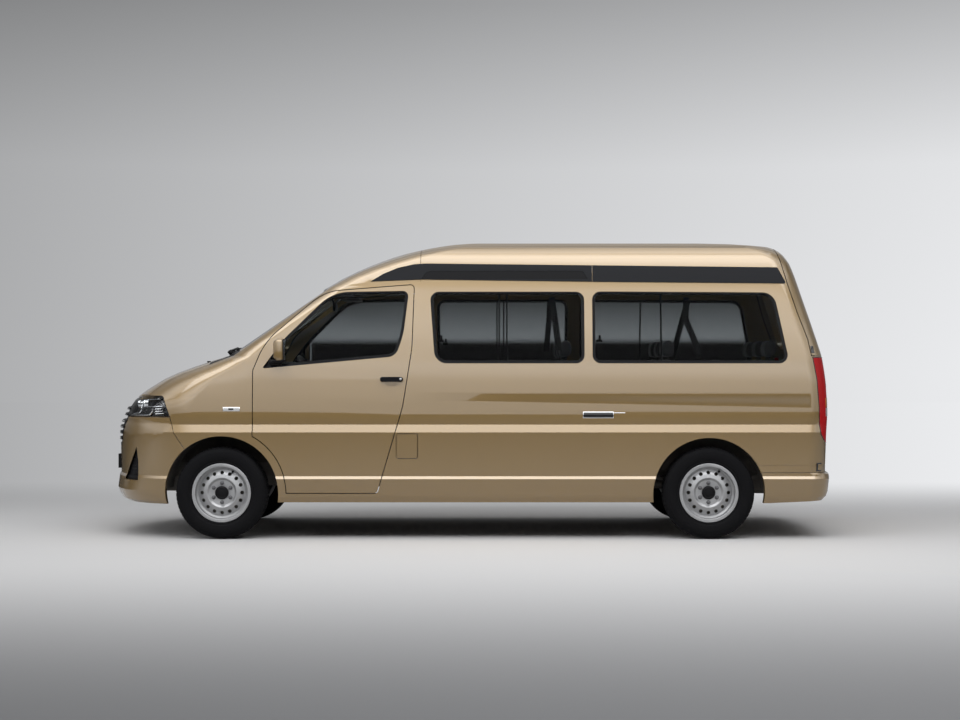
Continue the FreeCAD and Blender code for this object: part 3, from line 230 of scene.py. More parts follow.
def from_points(points, edges=(), faces=()):
    """A bare mesh to be spun, extruded or filled."""
    mesh = bpy.data.meshes.new("start")
    mesh.from_pydata([Vector(p) for p in points], list(edges), list(faces))
    piece = bpy.data.objects.new("start", mesh)
    scene.collection.objects.link(piece)
    return piece


def spun(profile, centre, steps=96):
    """A ring about an axle along Y from a closed profile of (radius, offset) points."""
    centre = Vector(centre)
    points = [centre + Vector((0, offset, radius)) for radius, offset in profile]
    count = len(points)
    ring = from_points(points, [(i, (i + 1) % count) for i in range(count)])
    in_edit(ring, "EDGE", everything, lambda: bpy.ops.mesh.spin(
        steps=steps, angle=2 * math.pi, center=centre, axis=(0, 1, 0)))
    return facing_out(ring)


def tube(points, radius, closed=False, sides=3, handles="AUTO"):
    """A round bead along a smooth line, turned into a mesh."""
    curve = bpy.data.curves.new("line", "CURVE")
    curve.dimensions = "3D"
    curve.bevel_depth = radius
    curve.bevel_resolution = sides
    curve.use_fill_caps = True
    spline = curve.splines.new("BEZIER" if handles == "AUTO" else "POLY")
    if handles == "AUTO":
        spline.bezier_points.add(len(points) - 1)
        for knot, point in zip(spline.bezier_points, points):
            knot.co = Vector(point)
            knot.handle_left_type = knot.handle_right_type = "AUTO"
    else:
        spline.points.add(len(points) - 1)
        for knot, point in zip(spline.points, points):
            knot.co = Vector(point).to_4d()
    spline.use_cyclic_u = closed
    piece = bpy.data.objects.new("line", curve)
    scene.collection.objects.link(piece)
    only(piece)
    bpy.ops.object.convert(target="MESH")
    return facing_out(bpy.context.active_object)


print("helpers ready")

# %% [markdown]
# ## Shared shader groups
#
# Real surfaces share a few effects: a fine grain that breaks up a highlight, dust that settles
# low on the body and in the wheels, and a soft mottling of the colour. Each effect is built once
# as a node group with named inputs, and every material sets its own amounts.

# %% Node helpers


def shader_group(name, inputs, outputs):
    """An empty group; inputs are (name, kind, value) and outputs are (name, kind)."""
    group = bpy.data.node_groups.new(name, "ShaderNodeTree")
    for label, kind, value in inputs:
        socket = group.interface.new_socket(label, in_out="INPUT", socket_type="NodeSocket" + kind)
        if value is not None:
            socket.default_value = value
    for label, kind in outputs:
        group.interface.new_socket(label, in_out="OUTPUT", socket_type="NodeSocket" + kind)
    return group, group.nodes.new("NodeGroupInput"), group.nodes.new("NodeGroupOutput")


def place(tree, kind, links=(), **values):
    """Add one node, set its fields and sockets, and wire its inputs."""
    node = tree.nodes.new(kind)
    for key, value in values.items():
        if hasattr(node, key):
            setattr(node, key, value)
        else:
            node.inputs[key.replace("_", " ")].default_value = value
    for label, source in links:
        tree.links.new(source, node.inputs[label])
    return node


def noise(tree, where, scale, detail=2.0, roughness=0.5):
    return place(tree, "ShaderNodeTexNoise", [("Vector", where)], Scale=scale, Detail=detail,
                 Roughness=roughness).outputs["Fac"]


def arithmetic(tree, operation, first, second):
    node = tree.nodes.new("ShaderNodeMath")
    node.operation = operation
    for socket, value in zip(node.inputs, (first, second)):
        if isinstance(value, bpy.types.NodeSocket):
            tree.links.new(value, socket)
        else:
            socket.default_value = value
    return node.outputs[0]


def blended(tree, share, first, second):
    """Mix two colours by a share."""
    node = tree.nodes.new("ShaderNodeMix")
    node.data_type = "RGBA"
    for socket, value in ((node.inputs[0], share), (node.inputs[6], first), (node.inputs[7], second)):
        if isinstance(value, bpy.types.NodeSocket):
            tree.links.new(value, socket)
        else:
            socket.default_value = value
    return node.outputs[2]


# %% Grain: small bumps for plastic, rubber and castings
grain, ins, outs = shader_group(
    "Grain", [("Position", "Vector", None), ("Scale", "Float", 900.0), ("Height", "Float", 0.2)],
    [("Normal", "Vector"), ("Mask", "Float")])
fine = place(grain, "ShaderNodeTexNoise", [("Vector", ins.outputs["Position"]),
                                           ("Scale", ins.outputs["Scale"])], Detail=3.0)
pits = place(grain, "ShaderNodeBump", [("Height", fine.outputs["Fac"]),
                                       ("Strength", ins.outputs["Height"])], Distance=0.0004)
grain.links.new(pits.outputs["Normal"], outs.inputs["Normal"])
grain.links.new(fine.outputs["Fac"], outs.inputs["Mask"])

# %% Dust: a thin film that gathers towards the road
dust, ins, outs = shader_group(
    "Road dust", [("Position", "Vector", None), ("Color", "Color", (0.5, 0.5, 0.5, 1)),
                  ("Rough", "Float", 0.3), ("Top", "Float", 0.6), ("Amount", "Float", 0.3)],
    [("Color", "Color"), ("Rough", "Float")])
height = place(dust, "ShaderNodeSeparateXYZ", [("Vector", ins.outputs["Position"])]).outputs["Z"]
low = place(dust, "ShaderNodeMapRange", [("Value", height), ("From Max", ins.outputs["Top"])])
low.inputs["From Min"].default_value = 0.0
low.inputs["To Min"].default_value = 1.0
low.inputs["To Max"].default_value = 0.0
cloudy = arithmetic(dust, "MULTIPLY", low.outputs["Result"], noise(dust, ins.outputs["Position"], 14, 6))
film = arithmetic(dust, "MULTIPLY", cloudy, ins.outputs["Amount"])
dust.links.new(blended(dust, film, ins.outputs["Color"], (0.30, 0.27, 0.23, 1)), outs.inputs["Color"])
rougher = arithmetic(dust, "MULTIPLY", film, 0.8)
dust.links.new(arithmetic(dust, "ADD", ins.outputs["Rough"], rougher), outs.inputs["Rough"])

# %% Mottle: slow changes of tone and gloss over a large part
mottle, ins, outs = shader_group(
    "Mottle", [("Position", "Vector", None), ("Color", "Color", (0.5, 0.5, 0.5, 1)),
               ("Scale", "Float", 8.0), ("Amount", "Float", 0.1), ("Rough", "Float", 0.4)],
    [("Color", "Color"), ("Rough", "Float")])
cloud = place(mottle, "ShaderNodeTexNoise", [("Vector", ins.outputs["Position"]),
                                             ("Scale", ins.outputs["Scale"])], Detail=5.0)
spread = arithmetic(mottle, "MULTIPLY", arithmetic(mottle, "SUBTRACT", cloud.outputs["Fac"], 0.5),
                    ins.outputs["Amount"])
lighter = arithmetic(mottle, "ADD", spread, 1.0)
tone = place(mottle, "ShaderNodeHueSaturation", [("Value", lighter), ("Color", ins.outputs["Color"])])
mottle.links.new(tone.outputs["Color"], outs.inputs["Color"])
mottle.links.new(arithmetic(mottle, "ADD", ins.outputs["Rough"], spread), outs.inputs["Rough"])
print("shader groups:", [g.name for g in bpy.data.node_groups])

# %% [markdown]
# ## Materials
#
# `material` builds the usual chain: object coordinates, mottling, dust and grain, all feeding one
# Principled shader. The numbers that stay the same all over the surface, such as coat and sheen,
# are set on the shader itself.

# %% The usual chain


def material(name, color, rough, metallic=0.0, mottled=0.08, scale=8.0, dusty=0.0, dust_top=0.5,
             grained=0.0, grain_scale=900.0, **shader_values):
    made = bpy.data.materials.new(name)
    made.use_nodes = True
    tree = made.node_tree
    shader = tree.nodes["Principled BSDF"]
    position = tree.nodes.new("ShaderNodeTexCoord").outputs["Object"]
    tone = tree.nodes.new("ShaderNodeGroup")
    tone.node_tree = mottle
    tree.links.new(position, tone.inputs["Position"])
    tone.inputs["Color"].default_value = (*color, 1)
    tone.inputs["Scale"].default_value = scale
    tone.inputs["Amount"].default_value = mottled
    tone.inputs["Rough"].default_value = rough
    film = tree.nodes.new("ShaderNodeGroup")
    film.node_tree = dust
    tree.links.new(position, film.inputs["Position"])
    tree.links.new(tone.outputs["Color"], film.inputs["Color"])
    tree.links.new(tone.outputs["Rough"], film.inputs["Rough"])
    film.inputs["Top"].default_value = dust_top
    film.inputs["Amount"].default_value = dusty
    tree.links.new(film.outputs["Color"], shader.inputs["Base Color"])
    tree.links.new(film.outputs["Rough"], shader.inputs["Roughness"])
    if grained:
        bumps = tree.nodes.new("ShaderNodeGroup")
        bumps.node_tree = grain
        tree.links.new(position, bumps.inputs["Position"])
        bumps.inputs["Scale"].default_value = grain_scale
        bumps.inputs["Height"].default_value = grained
        tree.links.new(bumps.outputs["Normal"], shader.inputs["Normal"])
    shader.inputs["Metallic"].default_value = metallic
    for label, value in shader_values.items():
        shader.inputs[label.replace("_", " ")].default_value = value
    return made


# %% [markdown]
# The paint is a champagne metallic under clear lacquer. Its base is half metallic and rather
# rough, so it glows in broad soft gradients, and a smooth coat on top gives the crisp reflections.
# Tiny flakes tilt the base a little, which the grain group does at a very fine scale.

# %% Paint, metals and plastics
paint = material("Champagne lacquer", (0.260, 0.166, 0.056), 0.36, 0.40, mottled=0.015, scale=3,
                 dusty=0.10, dust_top=0.50, grained=0.06, grain_scale=2600,
                 Coat_Weight=1.0, Coat_Roughness=0.03, Coat_IOR=1.8)
tree = paint.node_tree
# The clear coat is thinned on faces that look straight up, so the roof and other flat tops reflect the lamps
# less: painted shade on the top of the body.
upward = place(tree, "ShaderNodeSeparateXYZ",
               [("Vector", tree.nodes.new("ShaderNodeTexCoord").outputs["Normal"])]).outputs["Z"]
top_coat_shade = place(tree, "ShaderNodeMapRange", [("Value", upward)])
top_coat_shade.inputs["From Min"].default_value = 0.93
top_coat_shade.inputs["From Max"].default_value = 0.995
top_coat_shade.inputs["To Min"].default_value = 1.0
top_coat_shade.inputs["To Max"].default_value = 0.3
tree.links.new(top_coat_shade.outputs[0], tree.nodes["Principled BSDF"].inputs["Coat Weight"])
paint_inside = material("Primer inside the body", (0.16, 0.14, 0.11), 0.7, mottled=0.2, dusty=0.3)
black_plastic = material("Grained black plastic", (0.006, 0.006, 0.007), 0.42, mottled=0.1,
                         dusty=0.02, grained=0.12, grain_scale=1400, Specular_IOR_Level=0.1)
gloss_black = material("Gloss black", (0.010, 0.010, 0.011), 0.12, mottled=0.03,
                       Coat_Weight=0.6, Coat_Roughness=0.05)
liner_plastic = material("Arch liner felt", (0.012, 0.012, 0.012), 0.9, mottled=0.3, dusty=0.7,
                         dust_top=0.9, grained=0.6, grain_scale=500)
steel = material("Zinc plated steel", (0.42, 0.42, 0.41), 0.35, 0.9, mottled=0.2, scale=60, dusty=0.3,
                 grained=0.1)
nut_steel = material("Phosphated steel", (0.10, 0.10, 0.105), 0.42, 0.8, mottled=0.2, scale=60, dusty=0.1)
chrome = material("Chrome", (0.82, 0.83, 0.84), 0.07, 1.0, mottled=0.02)
rubber = material("Black rubber", (0.009, 0.009, 0.009), 0.62, mottled=0.1, dusty=0.10,
                  grained=0.15, grain_scale=1800, Specular_IOR_Level=0.15)
tyre_rubber = material("Tyre rubber", (0.007, 0.007, 0.008), 0.60, mottled=0.15, scale=20,
                       dusty=0.006, dust_top=0.7, grained=0.15, grain_scale=1500,
                       Specular_IOR_Level=0.06)
wheel_silver = material("Silver wheel lacquer", (0.33, 0.333, 0.340), 0.34, 0.5, mottled=0.04,
                        scale=14, dusty=0.10, dust_top=0.6, grained=0.05, grain_scale=1800,
                        Coat_Weight=0.3, Coat_Roughness=0.2)
chassis_black = material("Chassis lacquer", (0.018, 0.018, 0.018), 0.55, mottled=0.25, scale=12,
                         dusty=0.8, dust_top=0.9, grained=0.25, grain_scale=400)
cast_metal = material("Bare casting", (0.14, 0.135, 0.13), 0.6, 0.7, mottled=0.3, scale=18,
                      dusty=0.5, dust_top=1.2, grained=0.5, grain_scale=350)
exhaust_steel = material("Exhaust steel", (0.30, 0.27, 0.24), 0.42, 0.9, mottled=0.5, scale=9,
                         dusty=0.5, dust_top=0.8, grained=0.1)
tank_plastic = material("Moulded tank", (0.02, 0.02, 0.02), 0.55, mottled=0.1, dusty=0.7,
                        dust_top=0.8, grained=0.2, grain_scale=600)
cabin_plastic = material("Cabin plastic", (0.075, 0.073, 0.07), 0.6, mottled=0.06, grained=0.4,
                         grain_scale=1100)
cabin_light = material("Light cabin trim", (0.20, 0.19, 0.175), 0.75, mottled=0.06, grained=0.4,
                       grain_scale=1100)
floor_mat = material("Floor mat", (0.03, 0.03, 0.03), 0.75, mottled=0.2, grained=0.4,
                     grain_scale=500)
print("plain materials made:", len(bpy.data.materials))

# %% [markdown]
# Glass and lamp covers pass light, so they keep a plain metallic and transmission value. The
# windows are tinted: each pane takes away most of the light, and two in a row look nearly black.

# %% Glass and lenses


def clear_material(name, color, rough=0.0, ior=1.5):
    made = bpy.data.materials.new(name)
    made.use_nodes = True
    shader = made.node_tree.nodes["Principled BSDF"]
    shader.inputs["Base Color"].default_value = (*color, 1)
    shader.inputs["Roughness"].default_value = rough
    shader.inputs["IOR"].default_value = ior
    shader.inputs["Transmission Weight"].default_value = 1.0
    return made


tinted_glass = clear_material("Tinted glass", (0.60, 0.63, 0.64), ior=1.12)
screen_glass = clear_material("Windscreen glass", (0.74, 0.80, 0.78), ior=1.2)
clear_lens = clear_material("Clear lamp cover", (0.97, 0.98, 0.99), ior=1.2)
red_lens = material("Red lamp cover", (0.60, 0.010, 0.014), 0.22, mottled=0.02,
                    Specular_IOR_Level=0.15)
amber_lens = clear_material("Amber lamp cover", (0.9, 0.30, 0.02), rough=0.05)
repeater_lens = material("Clear side marker", (0.75, 0.76, 0.76), 0.12, mottled=0.02,
                         Coat_Weight=1.0, Coat_Roughness=0.03)
lamp_black = material("Lamp housing", (0.012, 0.012, 0.013), 0.22, mottled=0.05, Coat_Weight=0.3)
projector_glass = material("Projector lens", (0.10, 0.12, 0.14), 0.03, 0.4, mottled=0.0,
                           Coat_Weight=1.0, Coat_Roughness=0.02)
print("glass made")

# %% [markdown]
# ## Camera, floor and light
#
# The camera stands far back on the driver's side with a long lens, so the side of the vehicle is
# seen almost flat. One large soft lamp hangs overhead and slightly to the near side, as in a
# vehicle studio: it draws the bright line along the shoulder and lets the lower body fall off.

# %% Camera
camera_data = bpy.data.cameras.new("Camera")
camera_data.sensor_width = 36.0
camera_data.lens = 66.7
camera_data.clip_end = 200.0
camera = bpy.data.objects.new("Camera", camera_data)
camera.location = (0.0795, -13.378, 1.225)
camera.rotation_euler = (math.radians(90.16), 0, 0)
scene.collection.objects.link(camera)
scene.camera = camera
print("lens", camera_data.lens, "mm at", tuple(round(v, 3) for v in camera.location))

# %% Floor and backdrop


def side_lit(tree, color, across, strength):
    """A colour that grows lighter from left to right, within the width of the stage: painted light, as if the
    studio were lit from the right.
    """
    held = arithmetic(tree, "MAXIMUM", arithmetic(tree, "MINIMUM", across, 0.28), -0.28)
    factor = arithmetic(tree, "ADD", arithmetic(tree, "MULTIPLY", held, strength), 1.0)
    return place(tree, "ShaderNodeVectorMath", [("Vector", color), ("Scale", factor)],
                 operation="SCALE").outputs["Vector"]


floor_paint = bpy.data.materials.new("Studio floor")
floor_paint.use_nodes = True
tree = floor_paint.node_tree
spot = tree.nodes.new("ShaderNodeTexCoord").outputs["Object"]
axes = place(tree, "ShaderNodeSeparateXYZ", [("Vector", spot)])
fading = place(tree, "ShaderNodeMapRange", [("Value", axes.outputs["Y"])],
               interpolation_type="SMOOTHSTEP")
fading.inputs["From Min"].default_value = 0.9
fading.inputs["From Max"].default_value = 5.5
# Towards the camera the floor is painted darker: painted shade, as if the light fell off there.
near = place(tree, "ShaderNodeMapRange", [("Value", axes.outputs["Y"])],
             interpolation_type="SMOOTHSTEP")
near.inputs["From Min"].default_value = -7.2
near.inputs["From Max"].default_value = -2.2
away = arithmetic(tree, "MAXIMUM", arithmetic(tree, "ADD", axes.outputs["Y"], 13.4), 6.0)
across = arithmetic(tree, "DIVIDE", axes.outputs["X"], away)
shader = tree.nodes["Principled BSDF"]
ground = blended(tree, near.outputs["Result"], (0.42, 0.424, 0.436, 1), (0.92, 0.923, 0.932, 1))
tree.links.new(side_lit(tree, ground, across, 0.45), shader.inputs["Base Color"])
shader.inputs["Roughness"].default_value = 0.9
shader.inputs["Specular IOR Level"].default_value = 0.0
rays = tree.nodes.new("ShaderNodeLightPath")
glow = place(tree, "ShaderNodeEmission", Strength=1.0)
far_tone = blended(tree, rays.outputs["Is Camera Ray"], (0.05, 0.05, 0.05, 1),
                   (0.62, 0.6262, 0.6386, 1))
tree.links.new(side_lit(tree, far_tone, across, 1.2), glow.inputs["Color"])
both = tree.nodes.new("ShaderNodeMixShader")
tree.links.new(fading.outputs["Result"], both.inputs[0])
tree.links.new(shader.outputs[0], both.inputs[1])
tree.links.new(glow.outputs[0], both.inputs[2])
tree.links.new(both.outputs[0], tree.nodes["Material Output"].inputs["Surface"])
bpy.ops.mesh.primitive_plane_add(size=90, location=(0, 0, -0.0005))
studio_floor = settle(bpy.context.active_object)
studio_floor.name = "studio_floor"
studio_floor.data.materials.append(floor_paint)
studio_floor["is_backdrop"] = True

world = bpy.data.worlds.new("Studio")
scene.world = world
world.use_nodes = True
sky = world.node_tree
heading = place(sky, "ShaderNodeSeparateXYZ",
                [("Vector", sky.nodes.new("ShaderNodeTexCoord").outputs["Generated"])])
rise = heading.outputs["Z"]


def tones(tree, height, *stops):
    """A ramp of greys over the height of a direction."""
    node = place(tree, "ShaderNodeValToRGB", [("Fac", height)])
    for index, (position, grey) in enumerate(stops):
        stop = node.color_ramp.elements[index] if index < 2 else node.color_ramp.elements.new(position)
        stop.position = position
        stop.color = (grey, grey * 1.01, grey * 1.03, 1)
    return node.outputs["Color"]


# Seen by the camera, the backdrop is painted darker towards the top and lighter to the right: painted shade
# and painted light.
seen = side_lit(sky, tones(sky, rise, (0.0, 0.62), (0.20, 0.33), (0.11, 0.58)),
                heading.outputs["X"], 1.2)
through = tones(sky, rise, (0.0135, 0.002), (0.014, 0.33), (0.038, 0.06))
facing = place(sky, "ShaderNodeMapRange", [("Value", heading.outputs["Y"])])
facing.inputs["From Min"].default_value = -0.15
facing.inputs["From Max"].default_value = 0.25
facing.inputs["To Min"].default_value = 3.4
facing.inputs["To Max"].default_value = 0.7
bands = tones(sky, rise, (0.010, 0.35), (0.050, 0.39), (0.10, 0.46), (0.14, 0.70), (0.20, 0.60),
              (0.30, 0.76), (0.40, 0.66), (0.47, 0.26), (0.55, 0.85), (0.74, 0.95), (0.90, 0.60))
sideways = place(sky, "ShaderNodeMapRange",
                 [("Value", arithmetic(sky, "ABSOLUTE", heading.outputs["X"], 0.0))])
sideways.inputs["From Min"].default_value = 0.35
sideways.inputs["From Max"].default_value = 0.65
sideways.inputs["To Min"].default_value = 1.0
sideways.inputs["To Max"].default_value = 0.6
strength = arithmetic(sky, "MULTIPLY", facing.outputs[0], sideways.outputs[0])
mirrored_tone = place(sky, "ShaderNodeVectorMath", [("Vector", bands), ("Scale", strength)],
                      operation="SCALE").outputs["Vector"]
lighting = tones(sky, rise, (0.0, 0.08), (1.0, 0.16))
rays = sky.nodes.new("ShaderNodeLightPath")
light = blended(sky, rays.outputs["Is Glossy Ray"], lighting, mirrored_tone)
light = blended(sky, rays.outputs["Is Transmission Ray"], light, through)
light = blended(sky, rays.outputs["Is Camera Ray"], light, seen)
sky.links.new(light, sky.nodes["Background"].inputs["Color"])
scene.view_settings.view_transform = "Standard"


# %% Lamps


def softbox(name, location, target, size_x, size_y, power):
    light = bpy.data.lights.new(name, "AREA")
    light.shape = "RECTANGLE"
    light.size = size_x
    light.size_y = size_y
    light.energy = power
    lamp = bpy.data.objects.new(name, light)
    lamp.location = location
    lamp.rotation_euler = (Vector(target) - Vector(location)).to_track_quat("-Z", "Y").to_euler()
    scene.collection.objects.link(lamp)
    return lamp


softbox("near side", (-0.5, -5.5, 7.0), (0, -0.6, 1.0), 15.0, 4.6, 400)
softbox("overhead", (0, -0.4, 6.0), (0, -0.2, 0), 9.0, 3.6, 110)
nose_lamp = softbox("nose side", (-8.0, -3.0, 3.0), (-1.5, 0, 1.0), 2.0, 3.0, 60)
nose_lamp.visible_glossy = False

# %% [markdown]
# ## The CAD panels
#
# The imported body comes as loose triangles, so every facet would show. A short geometry-nodes
# modifier merges the points and smooths all edges below a chosen angle, and leaves the mesh itself
# as it is. The nose is built from bands that meet at up to fifteen degrees, and the shoulder line
# turns by twenty, so a limit of seventeen smooths the one and keeps the other crisp.

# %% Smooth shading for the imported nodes
smoothing = bpy.data.node_groups.new("Smooth panels", "GeometryNodeTree")
smoothing.interface.new_socket("Geometry", in_out="INPUT", socket_type="NodeSocketGeometry")
smoothing.interface.new_socket("Limit", in_out="INPUT", socket_type="NodeSocketFloat")
smoothing.interface.new_socket("Geometry", in_out="OUTPUT", socket_type="NodeSocketGeometry")
ins = smoothing.nodes.new("NodeGroupInput")
outs = smoothing.nodes.new("NodeGroupOutput")
weld = place(smoothing, "GeometryNodeMergeByDistance", [("Geometry", ins.outputs["Geometry"])],
             Distance=0.00002)
round_all = place(smoothing, "GeometryNodeSetShadeSmooth", [("Geometry", weld.outputs["Geometry"])])
turn = smoothing.nodes.new("GeometryNodeInputMeshEdgeAngle")
steep = place(smoothing, "FunctionNodeCompare", operation="GREATER_THAN", data_type="FLOAT")
smoothing.links.new(turn.outputs["Unsigned Angle"], steep.inputs["A"])
smoothing.links.new(ins.outputs["Limit"], steep.inputs["B"])
crease = smoothing.nodes.new("GeometryNodeSetShadeSmooth")
crease.domain = "EDGE"
smoothing.links.new(round_all.outputs["Geometry"], crease.inputs["Geometry"])
smoothing.links.new(steep.outputs["Result"], crease.inputs["Selection"])
crease.inputs["Shade Smooth"].default_value = False
smoothing.links.new(crease.outputs["Geometry"], outs.inputs["Geometry"])


def smooth_node(piece, degrees):
    modifier = piece.modifiers.new("Smooth panels", "NODES")
    modifier.node_group = smoothing
    limit = [item.identifier for item in smoothing.interface.items_tree
             if item.item_type == "SOCKET" and item.name == "Limit"][0]
    modifier[limit] = math.radians(degrees)


# %% One finish for every node
FINISHES = {
    "body_paint": paint, "window_glass": tinted_glass, "black_trim": black_plastic,
    "head_lamp": gloss_black, "tail_lamp": red_lens, "wheel_silver": wheel_silver,
    "tyre_rubber": tyre_rubber, "seal_rubber": rubber, "arch_liner": liner_plastic,
    "chassis_black": chassis_black, "cast_metal": cast_metal, "exhaust_steel": exhaust_steel,
    "tank_plastic": tank_plastic, "cabin_plastic": cabin_plastic, "floor_mat": floor_mat,
    "seat_fabric": cabin_light, "seat_metal": chassis_black,
}
for part in frame["record"]["subparts"]:
    node = NODES[part["node"]]
    node.data.materials.clear()
    node.data.materials.append(FINISHES[part["material_slot"]])
    smooth_node(node, 17)
for name in ("windscreen",):
    NODES[name].data.materials[0] = screen_glass
print("finished nodes:", len(NODES))

# %% [markdown]
# ## Tyres
#
# A tyre is a closed outline spun about its axle. The outline carries the bead, the rim guard, the
# round shoulder and the floor of the tread. The tread blocks start as one row across, cut in five
# ribs and slanted, and the spin operator then copies this row all round.

# %% Tyre outline and tread
AXLES = {
    "front_left": Vector(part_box("tyre_front_left")[0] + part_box("tyre_front_left")[1]) / 2,
    "front_right": Vector(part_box("tyre_front_right")[0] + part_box("tyre_front_right")[1]) / 2,
    "rear_left": Vector(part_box("tyre_rear_left")[0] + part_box("tyre_rear_left")[1]) / 2,
    "rear_right": Vector(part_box("tyre_rear_right")[0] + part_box("tyre_rear_right")[1]) / 2,
}
TYRE_RADIUS = (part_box("tyre_front_left")[1].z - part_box("tyre_front_left")[0].z) / 2
TREAD_FLOOR = TYRE_RADIUS - 0.0075
HALF_TYRE = [
    (0.1905, 0.066), (0.1915, 0.0705), (0.196, 0.0737), (0.2075, 0.0775), (0.2105, 0.0815),
    (0.2135, 0.0870), (0.2165, 0.0888), (0.2195, 0.0888), (0.2225, 0.0878), (0.2250, 0.0892),
    (0.2360, 0.0932), (0.2362, 0.0940), (0.2385, 0.0944), (0.2387, 0.0938), (0.2500, 0.0960),
    (0.2640, 0.0968), (0.2780, 0.0958), (0.2880, 0.0938), (0.2882, 0.0944), (0.2905, 0.0938),
    (0.2907, 0.0930), (0.2990, 0.0902), (0.3060, 0.0870), (0.3110, 0.0830), (0.3148, 0.0775),
    (0.3165, 0.0700), (TREAD_FLOOR, 0.0600), (TREAD_FLOOR, 0.0300),
]
PITCHES = 66
RIBS = [(-0.0820, -0.0505, -0.25), (-0.0455, -0.0185, 0.35), (-0.0135, 0.0135, 0.35),
        (0.0185, 0.0455, 0.35), (0.0505, 0.0820, -0.25)]


def crown(offset):
    """The tread's outer radius, a little lower towards the shoulders."""
    return TYRE_RADIUS - 0.0002 - 0.9 * offset ** 2


def tread_row(centre):
    """One row of blocks across the tread, tapered to their tops, before it is copied round."""
    points = []
    faces = []
    turn = 2 * math.pi / PITCHES
    for inner, outer, slant in RIBS:
        first = len(points)
        for depth in (0.0, 1.0):
            for offset, way in ((inner, -1), (outer, 1)):
                shift = slant * (offset - (inner + outer) / 2) / 0.035 * turn * 0.5
                edge = offset - way * 0.0007 * depth
                radius = (crown(edge) if depth else TREAD_FLOOR - 0.004 - 0.9 * edge ** 2)
                for side in (-0.43, 0.43):
                    angle = turn * side * (1 - 0.05 * depth) + shift
                    points.append(centre + Vector((radius * math.sin(angle), edge,
                                                   radius * math.cos(angle))))
        for corners in ((0, 1, 3, 2), (4, 6, 7, 5), (0, 4, 5, 1), (2, 3, 7, 6), (0, 2, 6, 4),
                        (1, 5, 7, 3)):
            faces.append([first + c for c in corners])
    row = from_points(points, faces=faces)

    def on_top(edge):
        return all(math.hypot(p.co.x - centre.x, p.co.z - centre.z) > TREAD_FLOOR + 0.003
                   for p in edge.verts)

    return in_edit(row, "EDGE", on_top, lambda: bpy.ops.mesh.bevel(
        offset=0.0009, segments=1, affect="EDGES"))


def shoulder_notches(centre):
    """Short ribs on both shoulders, where the tread runs out into the sidewall."""
    notches = []
    for way in (-1, 1):
        low = centre + Vector((-0.0035, way * 0.0838, 0.3085))
        high = centre + Vector((0.0035, way * 0.0872, 0.3135))
        notch = block([min(a, b) for a, b in zip(low, high)], [max(a, b) for a, b in zip(low, high)],
                      0.0008, 1)
        notches.append(notch)
    return joined(notches)


def copied_round(piece, centre, count):
    """Copy a piece round the axle with the spin operator."""
    return in_edit(piece, "FACE", everything, lambda: bpy.ops.mesh.spin(
        steps=count - 1, dupli=True, angle=2 * math.pi * (count - 1) / count, center=centre,
        axis=(0, 1, 0)))


def tyre(corner):
    centre = AXLES[corner]
    outline = HALF_TYRE + [(r, -y) for r, y in reversed(HALF_TYRE)]
    inside = [(0.1905, -0.050), (0.200, -0.045), (0.200, 0.045), (0.1905, 0.050)]
    carcass = spun(outline + inside, centre, 128)
    row = copied_round(tread_row(centre), centre, PITCHES)
    notches = copied_round(shoulder_notches(centre), centre, PITCHES)
    piece = joined([carcass, row, notches])
    piece = fitted(piece, "tyre_" + corner + "_treaded", corner + "_wheel",
                   tyre_rubber, 30)
    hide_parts("tyre_" + corner)
    return piece


for corner in AXLES:
    made = tyre(corner)
print("tyre faces:", len(made.data.polygons))

# %% [markdown]
# ## Wheel fittings
#
# Six nuts on a small circle hold each wheel, round a black cap with a rounded rim. The nuts are
# short drums with six sides, with a washer face under them and a domed end. The valve is bent
# rubber with a metal tip.

# %% Caps, nuts and valves
DISC_FACE = 0.049
NUT_CIRCLE = 0.068


